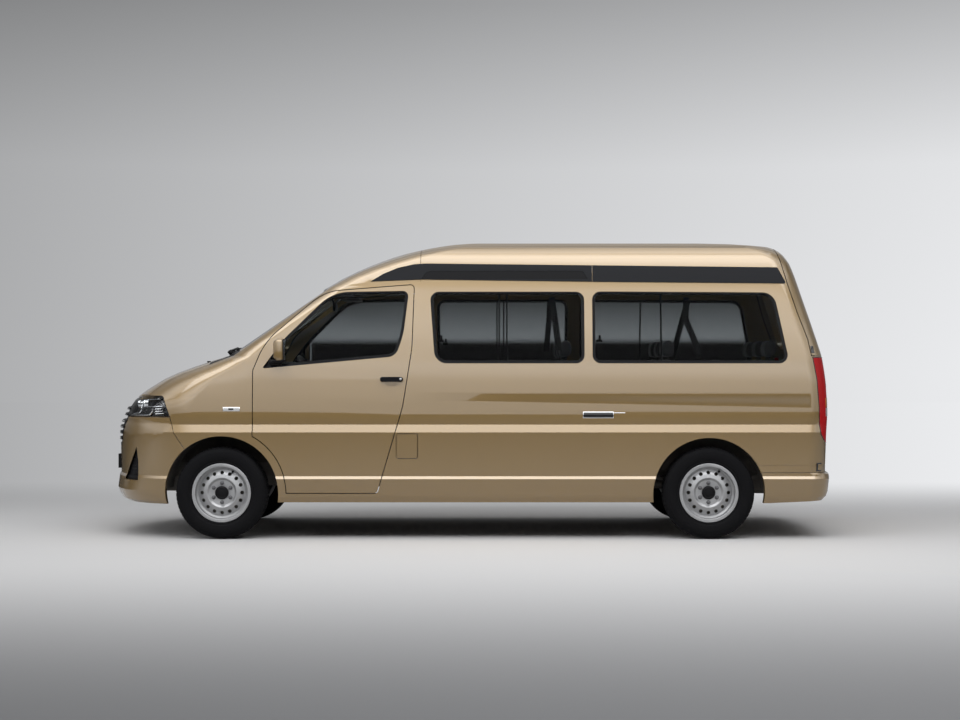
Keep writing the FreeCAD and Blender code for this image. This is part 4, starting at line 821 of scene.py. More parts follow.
def wheel_fittings(corner):
    centre = AXLES[corner]
    out = -1 if "left" in corner else 1

    def at(radius, turn, offset):
        return centre + Vector((radius * math.cos(turn), out * offset, radius * math.sin(turn)))

    cap = drum(at(0, 0, DISC_FACE - 0.004), at(0, 0, 0.066), 0.041, 0.004, 48)
    in_edit(cap, "FACE", lambda f: abs(f.normal.y) > 0.9 and abs(face_middle(f).y - centre.y) > 0.06,
            lambda: bpy.ops.mesh.inset(thickness=0.008, depth=0),
            lambda: bpy.ops.mesh.inset(thickness=0.002, depth=-0.003),
            lambda: bpy.ops.mesh.inset(thickness=0.012, depth=0),
            lambda: bpy.ops.mesh.inset(thickness=0.002, depth=0.002))
    valve_turn = math.radians(63)
    stem = drum(at(0.166, valve_turn, 0.043), at(0.158, valve_turn, 0.066), 0.0048, 0.001, 16)
    foot = drum(at(0.168, valve_turn, 0.040), at(0.1655, valve_turn, 0.049), 0.0085, 0.0015, 16)
    dark = joined([cap, stem, foot])
    fitted(dark, "wheel_cap_" + corner, corner + "_wheel", black_plastic, 40)
    bright = []
    for number in range(6):
        turn = math.radians(60 * number + 30)
        bright.append(drum(at(NUT_CIRCLE, turn, DISC_FACE - 0.003), at(NUT_CIRCLE, turn, 0.0525),
                           0.0145, 0.001, 24))
        bright.append(drum(at(NUT_CIRCLE, turn, 0.052), at(NUT_CIRCLE, turn, 0.067),
                           0.0112, 0.0015, 6))
        bright.append(drum(at(NUT_CIRCLE, turn, 0.066), at(NUT_CIRCLE, turn, 0.0705),
                           0.0072, 0.0015, 20))
    bright.append(drum(at(0.1575, valve_turn, 0.066), at(0.1555, valve_turn, 0.0715), 0.0036,
                       0.0008, 12))
    weight = drum(at(0.186, math.radians(140), 0.080), at(0.186, math.radians(147), 0.080), 0.0045,
                  0.0012, 10)
    bright.append(weight)
    nuts = joined(bright)
    fitted(nuts, "wheel_nuts_" + corner, corner + "_wheel", nut_steel, 35)
    # The brake plate stands for the brake behind the wheel and is dark so that the wheel's holes look into
    # shade: partly painted shade.
    # It is cut out in the middle by an inset, so the hub passes through it.
    plate = drum(at(0, 0, 0.014), at(0, 0, 0.018), 0.160, 0.001, 64)
    in_edit(plate, "FACE", lambda f: abs(f.normal.y) > 0.9,
            lambda: bpy.ops.mesh.inset(thickness=0.060, depth=0),
            lambda: bpy.ops.mesh.bridge_edge_loops())
    fitted(plate, "brake_plate_and_shade_" + corner, corner + "_wheel", liner_plastic, 40)


for corner in AXLES:
    wheel_fittings(corner)
print("wheels fitted")

# %% [markdown]
# ## Window rubbers
#
# Every pane of the CAD model gets a black printed band along its edge and a rubber bead round it.
# Both start from the pane's own outer rim, which is read from the mesh as a closed line of points:
# the bead follows it, and the band lies between it and the same line drawn inwards.

# %% Reading the rim of a pane
from mathutils.bvhtree import BVHTree


def search_tree(*names):
    """A tree that finds places on the surface of some CAD nodes."""
    points = []
    faces = []
    for name in names:
        first = len(points)
        points += [v.co.copy() for v in NODES[name].data.vertices]
        faces += [[first + i for i in f.vertices] for f in NODES[name].data.polygons]
    return BVHTree.FromPolygons(points, faces)


def straightest(line, edges):
    """The edge that carries a line on with the least turn."""
    end = line[-1]
    way = (end.co - line[-2].co).normalized()
    return max((e for e in end.link_edges if e in edges), default=None,
               key=lambda e: way.dot((e.other_vert(end).co - end.co).normalized()))


def rims(name, out):
    """The outer rims of a node's panes, as closed lines of points."""
    out = Vector(out).normalized()
    mesh = bmesh.new()
    mesh.from_mesh(NODES[name].data)
    bmesh.ops.remove_doubles(mesh, verts=mesh.verts, dist=0.00002)
    sharp = {e for e in mesh.edges if len(e.link_faces) == 2
             and e.calc_face_angle() > math.radians(50)
             and any(f.normal.dot(out) > 0.2 for f in e.link_faces)}
    lines = []
    while sharp:
        edge = sharp.pop()
        line = [edge.verts[0], edge.verts[1]]
        for direction in (1, 2):
            following = straightest(line, sharp)
            while following:
                sharp.remove(following)
                line.append(following.other_vert(line[-1]))
                following = straightest(line, sharp)
            line.reverse()
        points = [v.co.copy() for v in line]
        if len(line) > 30 and sum(points, Vector()).dot(out) > 0:
            lines.append(points)
    mesh.free()
    return lines


def evenly(line, step):
    """The same closed line with its points at an even spacing."""
    lengths = [0.0]
    for a, b in zip(line, line[1:]):
        lengths.append(lengths[-1] + (b - a).length)
    count = max(8, round(lengths[-1] / step))
    even = []
    index = 0
    for number in range(count):
        goal = lengths[-1] * number / count
        while lengths[index + 1] < goal:
            index += 1
        share = (goal - lengths[index]) / max(lengths[index + 1] - lengths[index], 1e-9)
        even.append(line[index].lerp(line[index + 1], share))
    return even


def drawn_in(line, out, width):
    """A closed line moved inwards in its own surface."""
    out = Vector(out).normalized()
    middle = sum(line, Vector()) / len(line)
    moved = []
    for number, point in enumerate(line):
        along = (line[(number + 2) % len(line)] - line[number - 2]).normalized()
        inward = along.cross(out).normalized()
        moved.append((point, inward))
    sign = 1 if sum(inward.dot(middle - point) for point, inward in moved) > 0 else -1
    return [point + sign * width * inward for point, inward in moved]


def band(line, out, width, tree, lift):
    """A closed strip along a line, laid on a surface."""
    count = len(line)
    rows = []
    for depth in (0.0, 0.5, 1.0):
        row = drawn_in(line, out, width * depth + 0.001)
        for number, point in enumerate(row):
            place_on, normal, index, gap = tree.find_nearest(point)
            if normal.dot(Vector(out)) < 0:
                normal = -normal
            row[number] = place_on + normal * lift
        rows += row
    faces = []
    for ring in (0, 1):
        for number in range(count):
            a, b = ring * count + number, ring * count + (number + 1) % count
            faces.append((a, b, b + count, a + count))
    strip = from_points(rows, faces=faces)
    apply_modifier(strip, "SOLIDIFY", thickness=0.0004, offset=1.0)
    return facing_out(strip)


def window_trim(name, node, out, body, bead=0.0055, width=0.022, step=0.012):
    """Rubbers and printed bands for all panes of one node that face one way."""
    tree = search_tree(node)
    beads = []
    bands = []
    for line in rims(node, out):
        even = evenly(line, step)
        beads.append(tube(even, bead, closed=True, sides=2, handles="POLY"))
        bands.append(band(even, out, width, tree, 0.0002))
    fitted(joined(beads), name + "_rubber", body, rubber, 60)
    fitted(joined(bands), name + "_band", body, frit, 30)
    return len(beads)


frit = material("Printed glass edge", (0.006, 0.006, 0.007), 0.10, mottled=0.0,
                Specular_IOR_Level=0.12)
for name, node, out, body in (
        ("left_windows", "side_windows", (0, -1, 0), "chassis"),
        ("right_windows", "side_windows", (0, 1, 0), "chassis"),
        ("windscreen", "windscreen", (-0.75, 0, 0.66), "chassis"),
        ("tailgate_window", "tailgate_glass", (1, 0, 0.2), "rear_hatch"),
        ("left_door_window", "front_door_left_glass", (0, -1, 0), "left_door"),
        ("right_door_window", "front_door_right_glass", (0, 1, 0), "right_door")):
    wide = 0.045 if name in ("windscreen", "tailgate_window") else 0.020
    print(name, "panes:", window_trim(name, node, out, body, width=wide))

# %% [markdown]
# The sliding panes behind the doors have thin upright frames, and the tinted upper halves of the
# cabin show them as dark bars. Each bar is a slim block that stands just inside its pane and is
# bent to the lean of the body by matching its ends to the glass.

# %% Upright bars of the sliding panes


def on_side(tree, x, z, way, inset=0.0):
    """A place on one side of the vehicle, a little inside its surface."""
    hit = tree.ray_cast(Vector((x, way * 1.3, z)), Vector((0, -way, 0)))[0]
    return hit - Vector((0, way * inset, 0))


side_glass = search_tree("side_windows")
pane_low, pane_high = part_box("side_windows")
bar_heights = [pane_low.z + 0.004 + share * (pane_high.z - pane_low.z - 0.008)
               for share in (0.0, 0.25, 0.5, 0.75, 1.0)]
bars = []
for way in (-1, 1):
    for x, half in ((0.215, 0.005), (0.269, 0.005), (1.356, 0.006)):
        points = [on_side(side_glass, x, z, way, 0.010) for z in bar_heights]
        for a, b in zip(points, points[1:]):
            bar = from_points([
                (x - half, a.y - 0.004, a.z), (x + half, a.y - 0.004, a.z),
                (x + half, a.y + 0.004, a.z), (x - half, a.y + 0.004, a.z),
                (x - half, b.y - 0.004, b.z), (x + half, b.y - 0.004, b.z),
                (x + half, b.y + 0.004, b.z), (x - half, b.y + 0.004, b.z)],
                faces=[(0, 1, 2, 3), (4, 5, 6, 7), (0, 1, 5, 4), (1, 2, 6, 5), (2, 3, 7, 6),
                       (3, 0, 4, 7)])
            bars.append(facing_out(bar))
fitted(joined(bars), "pane_bars", "chassis", black_plastic)
latches = []
for way in (-1, 1):
    for x in (-0.205, 0.912):
        at = on_side(side_glass, x, 1.395, way, 0.012)
        latches.append(block(at + Vector((-0.012, min(0, -way * 0.02), -0.010)),
                             at + Vector((0.030, max(0, -way * 0.02), 0.010)), 0.004))
        latches.append(block(at + Vector((0.004, min(0, -way * 0.016), -0.004)),
                             at + Vector((0.020, max(0, -way * 0.016), 0.040)), 0.004))
fitted(joined(latches), "pane_latches", "chassis", black_plastic)

# %% [markdown]
# ## Door mirrors, locks and side markers
#
# The mirrors are rebuilt: the black corner plate is kept from the CAD mesh, and the arm, the
# painted housing and the glass are new. The housing starts as a block, gets broad round edges and
# is then drawn in towards its outer end.

# %% Door mirrors
mirror_glass = material("Mirror glass", (0.75, 0.78, 0.80), 0.02, 1.0, mottled=0.0)


def door_mirror(side):
    node = "front_door_" + side + "_mirror"
    low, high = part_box(node)
    way = -1 if side == "left" else 1
    outer = max(abs(low.y), abs(high.y))

    def at(x, out, z):
        return Vector((x, way * out, z))

    def span(x0, x1, out0, out1, z0, z1, bevel, segments=4):
        a, b = at(x0, out0, z0), at(x1, out1, z1)
        return block([min(p, q) for p, q in zip(a, b)], [max(p, q) for p, q in zip(a, b)], bevel,
                     segments)

    only(NODES[node])
    sail = bpy.data.objects.new("sail", NODES[node].data.copy())
    scene.collection.objects.link(sail)
    in_edit(sail, "FACE", lambda f: abs(face_middle(f).y) > outer - 0.142,
            lambda: bpy.ops.mesh.delete(type="FACE"))
    facing_out(sail)
    rear = high.x
    arm = span(rear - 0.118, rear - 0.028, outer - 0.185, outer - 0.085, 1.226, 1.262, 0.012)
    base = span(rear - 0.085, rear - 0.006, outer - 0.142, outer - 0.010, 1.2425, 1.262, 0.008)
    ring = span(rear - 0.010, rear - 0.001, outer - 0.130, outer - 0.006, 1.250, 1.406, 0.004, 2)
    fitted(joined([sail, arm, base, ring]), "mirror_base_" + side, side + "_door",
           black_plastic, 40)
    shell = span(rear - 0.080, rear - 0.005, outer - 0.134, outer, 1.250, high.z, 0.024, 5)

    def far_end(point):
        return abs(point.co.y) > outer - 0.06

    in_edit(shell, "VERT", far_end, lambda: bpy.ops.transform.resize(
        value=(0.94, 1, 0.95), center_override=tuple(at(rear - 0.01, outer, 1.325))))
    in_edit(shell, "VERT", lambda p: p.co.x < rear - 0.055, lambda: bpy.ops.transform.resize(
        value=(1, 0.93, 0.90), center_override=tuple(at(rear - 0.06, outer - 0.067, 1.335))))
    fitted(shell, "mirror_shell_" + side, side + "_door", paint, 50)
    glass = span(rear - 0.004, rear, outer - 0.122, outer - 0.014, 1.262, 1.398, 0.0018, 1)
    fitted(glass, "mirror_face_" + side, side + "_door", mirror_glass, 40)
    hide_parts(node)


for side in ("left", "right"):
    door_mirror(side)
print("mirrors fitted")

# %% Key locks, repeaters and the plain plaques
SIDES = {"left": -1, "right": 1}
shell_tree = search_tree("left_body_side", "right_body_side", "front_fenders", "front_door_left",
                         "front_door_right", "sliding_door", "rear_bumper", "front_bumper",
                         "bonnet", "roof", "tailgate", "fuel_flap")


def plate_on_side(x0, x1, z0, z1, way, depth, bevel, tree=None):
    """A thin block on the body's side, leaning with it."""
    tree = tree or shell_tree
    foot = on_side(tree, (x0 + x1) / 2, z0, way)
    head = on_side(tree, (x0 + x1) / 2, z1, way)
    front = on_side(tree, x0, (z0 + z1) / 2, way)
    back = on_side(tree, x1, (z0 + z1) / 2, way)
    middle = (foot + head) / 2
    piece = block((-(x1 - x0) / 2, -depth, -(z1 - z0) / 2), ((x1 - x0) / 2, depth, (z1 - z0) / 2),
                  bevel, 3)
    lean = math.atan2(foot.y - head.y, z1 - z0)
    turn = math.atan2(back.y - front.y, x1 - x0)
    piece.data.transform(Matrix.Translation(Vector(((x0 + x1) / 2, middle.y, (z0 + z1) / 2)))
                         @ Matrix.Rotation(turn, 4, "Z") @ Matrix.Rotation(lean, 4, "X"))
    return piece


for side, way in SIDES.items():
    low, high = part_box("front_door_" + side + "_handle")
    face = max(abs(low.y), abs(high.y))
    lock = drum((high.x - 0.016, way * (face - 0.004), 1.1265), (high.x - 0.016, way * (face + 0.001), 1.1265),
                0.0085, 0.001, 24)
    fitted(lock, "key_lock_" + side, side + "_door", steel)
    frame_part = plate_on_side(-1.727, -1.607, 0.900, 0.929, way, 0.003, 0.0025)
    fitted(frame_part, "repeater_rim_" + side, "chassis", chrome)
    lens = plate_on_side(-1.723, -1.611, 0.9035, 0.9255, way, 0.0055, 0.003)
    fitted(lens, "repeater_lens_" + side, "chassis", repeater_lens)
    spot = plate_on_side(-1.688, -1.652, 0.9085, 0.9205, way, 0.0062, 0.002)
    fitted(spot, "repeater_bulb_" + side, "chassis", black_plastic)
rim_part = plate_on_side(0.802, 1.019, 0.851, 0.897, -1, 0.0025, 0.002)
fitted(rim_part, "plaque_rim", "chassis", chrome)
plaque = plate_on_side(0.806, 1.015, 0.855, 0.893, -1, 0.0032, 0.002)
fitted(plaque, "plaque", "chassis", gloss_black)
line = plate_on_side(1.021, 1.100, 0.886, 0.891, -1, 0.002, 0.001)
fitted(line, "plaque_line", "chassis", chrome)
print("side markers fitted")

# %% [markdown]
# ## Headlamps
#
# The CAD lamp is a full block. Here it becomes a housing and a cover: the housing is a copy whose
# outer faces are pushed in, and the cover is the outer skin alone, given a thin wall. Chrome lines
# and two projector lenses sit between them.

# %% Housing, cover and chrome lines


def outer_skin(node, name, tree_side=None):
    """A copy of a CAD node's whole mesh, as an object of its own."""
    skin = bpy.data.objects.new(name, NODES[node].data.copy())
    scene.collection.objects.link(skin)
    return skin


lamp_tree = search_tree("headlamps")
lamp_low, lamp_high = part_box("headlamps")


def lamp_face(face):
    """Faces on the outside of the lamps: they look forwards, upwards or to the side."""
    middle = face_middle(face)
    reach = lamp_tree.ray_cast(middle + face.normal * 0.001, face.normal)[0]
    out = Vector((-1.0, 0.9 * math.copysign(1, middle.y), 0.25)).normalized()
    return reach is None and face.normal.dot(out) > 0.35 and abs(face.normal.z) < 0.8


housing = outer_skin("headlamps", "housing")
facing_out(housing)
in_edit(housing, "FACE", lamp_face, lambda: bpy.ops.transform.shrink_fatten(value=-0.032))
fitted(housing, "headlamp_housings", "chassis", lamp_black, 30)
cover = outer_skin("headlamps", "cover")
facing_out(cover)
in_edit(cover, "FACE", lambda f: not lamp_face(f), lambda: bpy.ops.mesh.delete(type="FACE"))
apply_modifier(cover, "SOLIDIFY", thickness=0.0025, offset=-1.0)
fitted(cover, "headlamp_covers", "chassis", clear_lens, 30)
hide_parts("headlamps")


def lamp_line(points, inset, radius, way):
    """A bar that follows the lamp's outer surface a little below it."""
    path = []
    for (x0, z0), (x1, z1) in zip(points, points[1:]):
        steps = max(2, round(math.hypot(x1 - x0, z1 - z0) / 0.015))
        for number in range(steps):
            share = number / steps
            path.append((x0 + (x1 - x0) * share, z0 + (z1 - z0) * share))
    path.append(points[-1])
    line = []
    for x, z in path:
        hit, normal = lamp_tree.ray_cast(Vector((x, way * 1.2, z)), Vector((0, -way, 0)))[:2]
        if hit:
            line.append(hit - normal * inset)
    return tube(line, radius, sides=2)


CHROME_LINES = [
    ([(-2.339, 0.950), (-2.343, 0.905), (-2.356, 0.888), (-2.414, 0.880)], 0.0055),
    ([(-2.431, 0.868), (-2.310, 0.869), (-2.268, 0.874), (-2.249, 0.896), (-2.243, 0.920)], 0.0060),
    ([(-2.325, 0.932), (-2.165, 0.936)], 0.0040),
    ([(-2.223, 0.914), (-2.175, 0.918)], 0.0035),
    ([(-2.223, 0.897), (-2.165, 0.901)], 0.0035),
    ([(-2.222, 0.880), (-2.155, 0.884)], 0.0035),
    ([(-2.395, 0.984), (-2.190, 0.990)], 0.0050),
]
lines = [lamp_line(points, 0.013, radius, way) for points, radius in CHROME_LINES for way in (-1, 1)]
fitted(joined(lines), "headlamp_chrome", "chassis", chrome, 50)
bowls = []
balls = []
for way in (-1, 1):
    for y, z, radius in ((0.615, 0.945, 0.030), (0.690, 0.950, 0.030)):
        hit = lamp_tree.ray_cast(Vector((-3, way * y, z)), Vector((1, 0, 0)))[0]
        bowls.append(drum(hit + Vector((0.022, 0, 0)), hit + Vector((0.055, 0, 0)), radius, 0.004, 40))
        ball = drum(hit + Vector((0.016, 0, 0)), hit + Vector((0.030, 0, 0)), radius - 0.006, 0.006, 40)
        balls.append(ball)
fitted(joined(bowls), "projector_rims", "chassis", chrome, 40)
fitted(joined(balls), "projector_lenses", "chassis", projector_glass, 40)
print("headlamps built")

# %% [markdown]
# ## Grille, fog inserts and plate carriers
#
# Each slat of the grille gets short chrome tabs at both ends, as on the real nose, and a thin
# chrome line on its front edge. The number plates themselves are left out: both carriers are bare.

# %% Grille chrome
grille_tree = search_tree("grille")


def front_at(tree, y, z):
    hit = tree.ray_cast(Vector((-3.2, y, z)), Vector((1, 0, 0)))[0]
    return hit


SLAT_HEIGHTS = (0.690, 0.733, 0.776, 0.819, 0.868, 0.911)
chrome_bars = []
for z in SLAT_HEIGHTS:
    reach = 0.375 + max(0.0, (z - 0.66)) * 0.55
    line = []
    for number in range(41):
        y = reach * (number / 20 - 1)
        hit = front_at(grille_tree, y, z)
        if hit:
            line.append(hit + Vector((0.001, 0, 0)))
    chrome_bars.append(tube(line, 0.0026, sides=1, handles="POLY"))
    for way in (-1, 1):
        tab = []
        for number in range(6):
            hit = front_at(grille_tree, way * (reach - 0.060 + 0.012 * number), z - 0.002)
            if hit:
                tab.append(hit + Vector((0.002, 0, 0)))
        if len(tab) > 2:
            chrome_bars.append(tube(tab, 0.0065, sides=2))
fitted(joined(chrome_bars), "grille_chrome", "chassis", chrome, 50)

# %% Fog inserts: fine ribs
fog_ribs = []
for way in (-1, 1):
    for number in range(9):
        z = 0.420 + 0.022 * number
        ribs = []
        for step in range(12):
            x = -2.352 - 0.011 * step
            hit = grille_tree.ray_cast(Vector((x, way * 1.2, z)), Vector((0, -way, 0)))
            if hit[0] and abs(hit[0].y) > 0.45:
                ribs.append(hit[0] + hit[1] * 0.0005)
        if len(ribs) > 3:
            fog_ribs.append(tube(ribs, 0.0035, sides=1, handles="POLY"))
if fog_ribs:
    fitted(joined(fog_ribs), "fog_ribs", "chassis", black_plastic, 50)
print("nose trimmed")

# %% [markdown]
# ## Tail lamps
#
# The lamp column is solid red from the side. From behind it has an amber and a clear band, cut
# from the lamp's own rear faces and raised a little. A dark rim closes it against the body, and a
# small cap with a slot covers the tailgate hinge arm above it. The slot, and the wells behind the
# rear hooks, are dark plates laid on the body: painted shade in these openings.

# %% Lamp bands, rims, slots and hooks
tail_tree = search_tree("tail_lamps")
tail_low, tail_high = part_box("tail_lamps")


def slice_between(piece, low_z, high_z):
    """Keep the part of a mesh between two heights and away from the sides."""
    mesh = bmesh.new()
    mesh.from_mesh(piece.data)
    bmesh.ops.remove_doubles(mesh, verts=mesh.verts, dist=0.00002)
    for spot, normal in (((0, 0, low_z), (0, 0, -1)), ((0, 0, high_z), (0, 0, 1)),
                         ((0, -0.815, 0), (0, -1, 0)), ((0, 0.815, 0), (0, 1, 0))):
        bmesh.ops.bisect_plane(mesh, geom=mesh.verts[:] + mesh.edges[:] + mesh.faces[:],
                               plane_co=spot, plane_no=normal, clear_outer=True)
    mesh.to_mesh(piece.data)
    mesh.free()
    return piece


clear_band = material("Reversing lamp cover", (0.70, 0.70, 0.72), 0.15, mottled=0.02, Coat_Weight=1.0)
amber_band = material("Turn signal cover", (0.75, 0.22, 0.02), 0.15, mottled=0.02, Coat_Weight=1.0)
for label, low_z, high_z, finish in (("amber", 0.930, 0.990, amber_band),
                                     ("clear", 0.862, 0.922, clear_band)):
    strip = slice_between(outer_skin("tail_lamps", "strip"), low_z, high_z)
    in_edit(strip, "FACE", lambda f: f.normal.x < 0.75, lambda: bpy.ops.mesh.delete(type="FACE"))
    apply_modifier(strip, "SOLIDIFY", thickness=0.0012, offset=1.0)
    fitted(strip, "tail_lamp_" + label, "chassis", finish, 30)
edges = []
for way in (-1, 1):
    for line in rims("tail_lamps", (0.3, way, 0)):
        edges.append(tube(evenly(line, 0.010), 0.0026, closed=True, sides=1, handles="POLY"))
print("tail lamp rims:", len(edges))
if edges:
    fitted(joined(edges), "tail_lamp_rims", "chassis", gloss_black, 50)
# The slot over each hinge arm and the well behind each rear hook are dark plates: painted shade in the
# openings.
slots = []
hooks = []
well_shades = []
for way in (-1, 1):
    slots.append(plate_on_side(2.408, 2.436, 1.309, 1.360, way, 0.0015, 0.001))
    well_shades.append(plate_on_side(2.440, 2.488, 0.476, 0.536, way, 0.0012, 0.001))
    hooks.append(plate_on_side(2.454, 2.486, 0.486, 0.526, way, 0.0030, 0.002))
fitted(joined(slots + well_shades), "hinge_slot_and_well_shades", "chassis", gloss_black, 40)
fitted(joined(hooks), "rear_hooks", "chassis", paint, 40)

# %% [markdown]
# ## Roof trim, wipers and washer jets
#
# The front half of the roof trim has a long recess that is open at its lower edge. It is laid on
# the trim as a dark field with a raised lip: the field's darkness is painted shade in the recess.
# The wipers rest at the foot of the windscreen.

# %% Recess of the roof trim
trim_finish = material("Satin roof trim", (0.023, 0.024, 0.027), 0.40, mottled=0.06, grained=0.08,
                       grain_scale=1400, Specular_IOR_Level=0.08)
NODES["roof_trims"].data.materials[0] = trim_finish
trim_tree = search_tree("roof_trims")
fields = []
lips = []
for way in (-1, 1):
    outline = [(-0.336, 1.8335), (-0.318, 1.865), (-0.300, 1.884), (-0.270, 1.893),
               (0.790, 1.893), (0.812, 1.886), (0.822, 1.868), (0.846, 1.8335)]
    spots = [on_side(trim_tree, x, z, way, -0.0008) for x, z in outline]
    # The dark field is painted shade inside the recess.
    recess_shade = from_points(spots, faces=[range(len(spots))])
    apply_modifier(recess_shade, "SOLIDIFY", thickness=0.001, offset=1.0)
    fields.append(facing_out(recess_shade))
    lips.append(tube(spots, 0.0022, sides=2, handles="POLY"))
fitted(joined(fields), "roof_trim_recess_shade", "chassis", black_plastic, 30)
fitted(joined(lips), "roof_trim_lip", "chassis", trim_finish, 60)

# %% Wipers
screen_tree = search_tree("windscreen", "bonnet", "scuttle_panel")


def on_screen(y, z, lift):
    """A place on the windscreen or the panel below it, seen from the front."""
    hit, normal = screen_tree.ray_cast(Vector((-3.2, y, z)), Vector((1, 0, 0)))[:2]
    return hit + (normal if normal.x < 0 else -normal) * lift


arms = []
blades = []
for pivot_y, start_y, end_y in ((-0.60, -0.62, 0.02), (0.06, 0.02, 0.60)):
    foot = on_screen(pivot_y, 1.300, 0.004)
    arms.append(drum(foot, foot + Vector((-0.020, 0, 0.024)), 0.016, 0.004, 24))
    middle_y = (start_y + end_y) / 2
    tip = on_screen(middle_y, 1.334, 0.017)
    knee = foot.lerp(tip, 0.45) + Vector((-0.010, 0, 0.010))
    arms.append(tube([foot + Vector((-0.016, 0, 0.020)), knee, tip], 0.0085, sides=2))
    spine = [on_screen(start_y + (end_y - start_y) * step / 16, 1.326 + 0.010 * step / 16, 0.013)
             for step in range(17)]
    blades.append(tube(spine, 0.0085, sides=2))
    lip = [on_screen(start_y + (end_y - start_y) * step / 16, 1.326 + 0.010 * step / 16, 0.004)
           for step in range(17)]
    blades.append(tube(lip, 0.0035, sides=1))
fitted(joined(arms), "wiper_arms", "chassis", black_plastic, 50)
fitted(joined(blades), "wiper_blades", "chassis", rubber, 50)
bonnet_tree = search_tree("bonnet")
jets = []
for y in (-0.36, 0.36):
    hit = bonnet_tree.ray_cast(Vector((-1.905, y, 2.0)), Vector((0, 0, -1)))[0]
    jets.append(block(hit + Vector((-0.012, -0.009, -0.002)), hit + Vector((0.014, 0.009, 0.009)),
                      0.004, 3))
fitted(joined(jets), "washer_jets", "hood", black_plastic, 40)

# %% Tailgate: wiper, handle and high brake lamp
gate_tree = search_tree("tailgate", "tailgate_glass")


def behind(y, z, lift=0.0):
    hit, normal = gate_tree.ray_cast(Vector((3.2, y, z)), Vector((-1, 0, 0)))[:2]
    return hit + (normal if normal.x > 0 else -normal) * lift


foot = behind(0.0, 1.330, 0.002)
parts = [drum(foot, foot + Vector((0.026, 0, 0.004)), 0.019, 0.005, 28)]
tip = behind(-0.24, 1.400, 0.020)
parts.append(tube([foot + Vector((0.022, 0, 0.004)), foot.lerp(tip, 0.5) + Vector((0.014, 0, 0)), tip],
                  0.006, sides=2))
fitted(joined(parts), "rear_wiper_arm", "rear_hatch", black_plastic, 50)
blade = [behind(-0.08 - 0.02 * step, 1.385 + 0.0022 * step, 0.010) for step in range(18)]
fitted(tube(blade, 0.0065, sides=2), "rear_wiper_blade", "rear_hatch", rubber, 50)
grip = [behind(-0.30 + 0.02 * step, 0.985, 0.006) for step in range(31)]
fitted(tube(grip, 0.012, sides=3), "tailgate_grip", "rear_hatch", black_plastic, 50)
top = behind(0.0, 1.862, 0.0)
brake = block((top.x - 0.010, -0.150, 1.852), (top.x + 0.012, 0.150, 1.874), 0.006, 3)
fitted(brake, "high_brake_lamp", "rear_hatch", red_lens, 40)

# %% Sliding door: handle and rail
slide_tree = search_tree("sliding_door", "right_body_side")
low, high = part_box("front_door_right_handle")
out = max(abs(low.y), abs(high.y))
handle = block((-0.255, out - 0.014, low.z), (-0.095, out, high.z), 0.010, 4)
seat = on_side(slide_tree, -0.175, (low.z + high.z) / 2, 1)
feet = [block((x - 0.014, seat.y - 0.002, low.z + 0.006), (x + 0.014, out - 0.010, high.z - 0.006), 0.004)
        for x in (-0.236, -0.114)]
fitted(joined([handle] + feet), "sliding_door_handle", "chassis", black_plastic, 40)
rail = [on_side(slide_tree, 0.88 + 0.06 * step, 1.075, 1, -0.0015) for step in range(20)]
fitted(tube(rail, 0.006, sides=1, handles="POLY"), "sliding_door_rail", "chassis",
       gloss_black, 50)
print("outside fittings made")

# %% [markdown]
# ## Seats
#
# The CAD cushions are plain blocks. Each kind of cushion is copied once, rounded by a voxel
# remesh, blown up with a little air by the cloth solver and smoothed. The solver's push is capped,
# so a cushion stays close to its block. All seats then use copies of these few cushions.

# %% Cushions blown up once for each kind
fabric = material("Grey seat cloth", (0.055, 0.056, 0.060), 0.9, mottled=0.15, scale=40,
                  grained=0.5, grain_scale=700, Sheen_Weight=0.4)


def loose_parts(name):
    """The separate solids of a node, as lists of points and faces."""
    mesh = bmesh.new()
    mesh.from_mesh(NODES[name].data)
    bmesh.ops.remove_doubles(mesh, verts=mesh.verts, dist=0.00002)
    left = set(mesh.verts)
    parts = []
    while left:
        group = {left.pop()}
        edge_of_group = list(group)
        while edge_of_group:
            point = edge_of_group.pop()
            for edge in point.link_edges:
                other = edge.other_vert(point)
                if other in left:
                    left.remove(other)
                    group.add(other)
                    edge_of_group.append(other)
        order = sorted(group, key=lambda v: v.index)
        index = {v: i for i, v in enumerate(order)}
        faces = [[index[v] for v in f.verts] for f in mesh.faces if f.verts[0] in index]
        parts.append(([v.co.copy() for v in order], faces))
    mesh.free()
    return parts


def spread_of(points):
    low = Vector([min(p[i] for p in points) for i in range(3)])
    high = Vector([max(p[i] for p in points) for i in range(3)])
    return low, high


def blown_up(points, faces, cap):
    """A padded cushion made from one block."""
    low, high = spread_of(points)
    middle = (low + high) / 2
    size = high - low
    shrink = Vector([1 - 2 * cap / size[i] * 0.8 for i in range(3)])
    start = [middle + Vector([(p - middle)[i] * shrink[i] for i in range(3)]) for p in points]
    piece = from_points(start, faces=faces)
    facing_out(piece)
    apply_modifier(piece, "REMESH", mode="VOXEL", voxel_size=0.010)
    before = [v.co.copy() for v in piece.data.vertices]
    only(piece)
    cloth = piece.modifiers.new("Cloth", "CLOTH")
    cloth.settings.use_pressure = True
    cloth.settings.uniform_pressure_force = 4.0
    cloth.settings.effector_weights.gravity = 0.0
    for number in range(1, 21):
        scene.frame_set(number)
    bpy.ops.object.modifier_apply(modifier=cloth.name)
    scene.frame_set(1)
    moved = 0.0
    for point, old in zip(piece.data.vertices, before):
        push = point.co - old
        if push.length > cap:
            point.co = old + push.normalized() * cap
        moved = max(moved, min(push.length, cap))
    for number in range(3):
        in_edit(piece, "VERT", everything, lambda: bpy.ops.mesh.vertices_smooth(factor=0.5))
    swollen_low, swollen_high = spread_of([v.co for v in piece.data.vertices])
    grow = [size[i] / (swollen_high - swollen_low)[i] for i in range(3)]
    centre = (swollen_low + swollen_high) / 2
    for point in piece.data.vertices:
        point.co = middle + Vector([(point.co - centre)[i] * grow[i] for i in range(3)])
    print("cushion", [round(v, 3) for v in size], "pushed", round(moved, 4))
    return piece


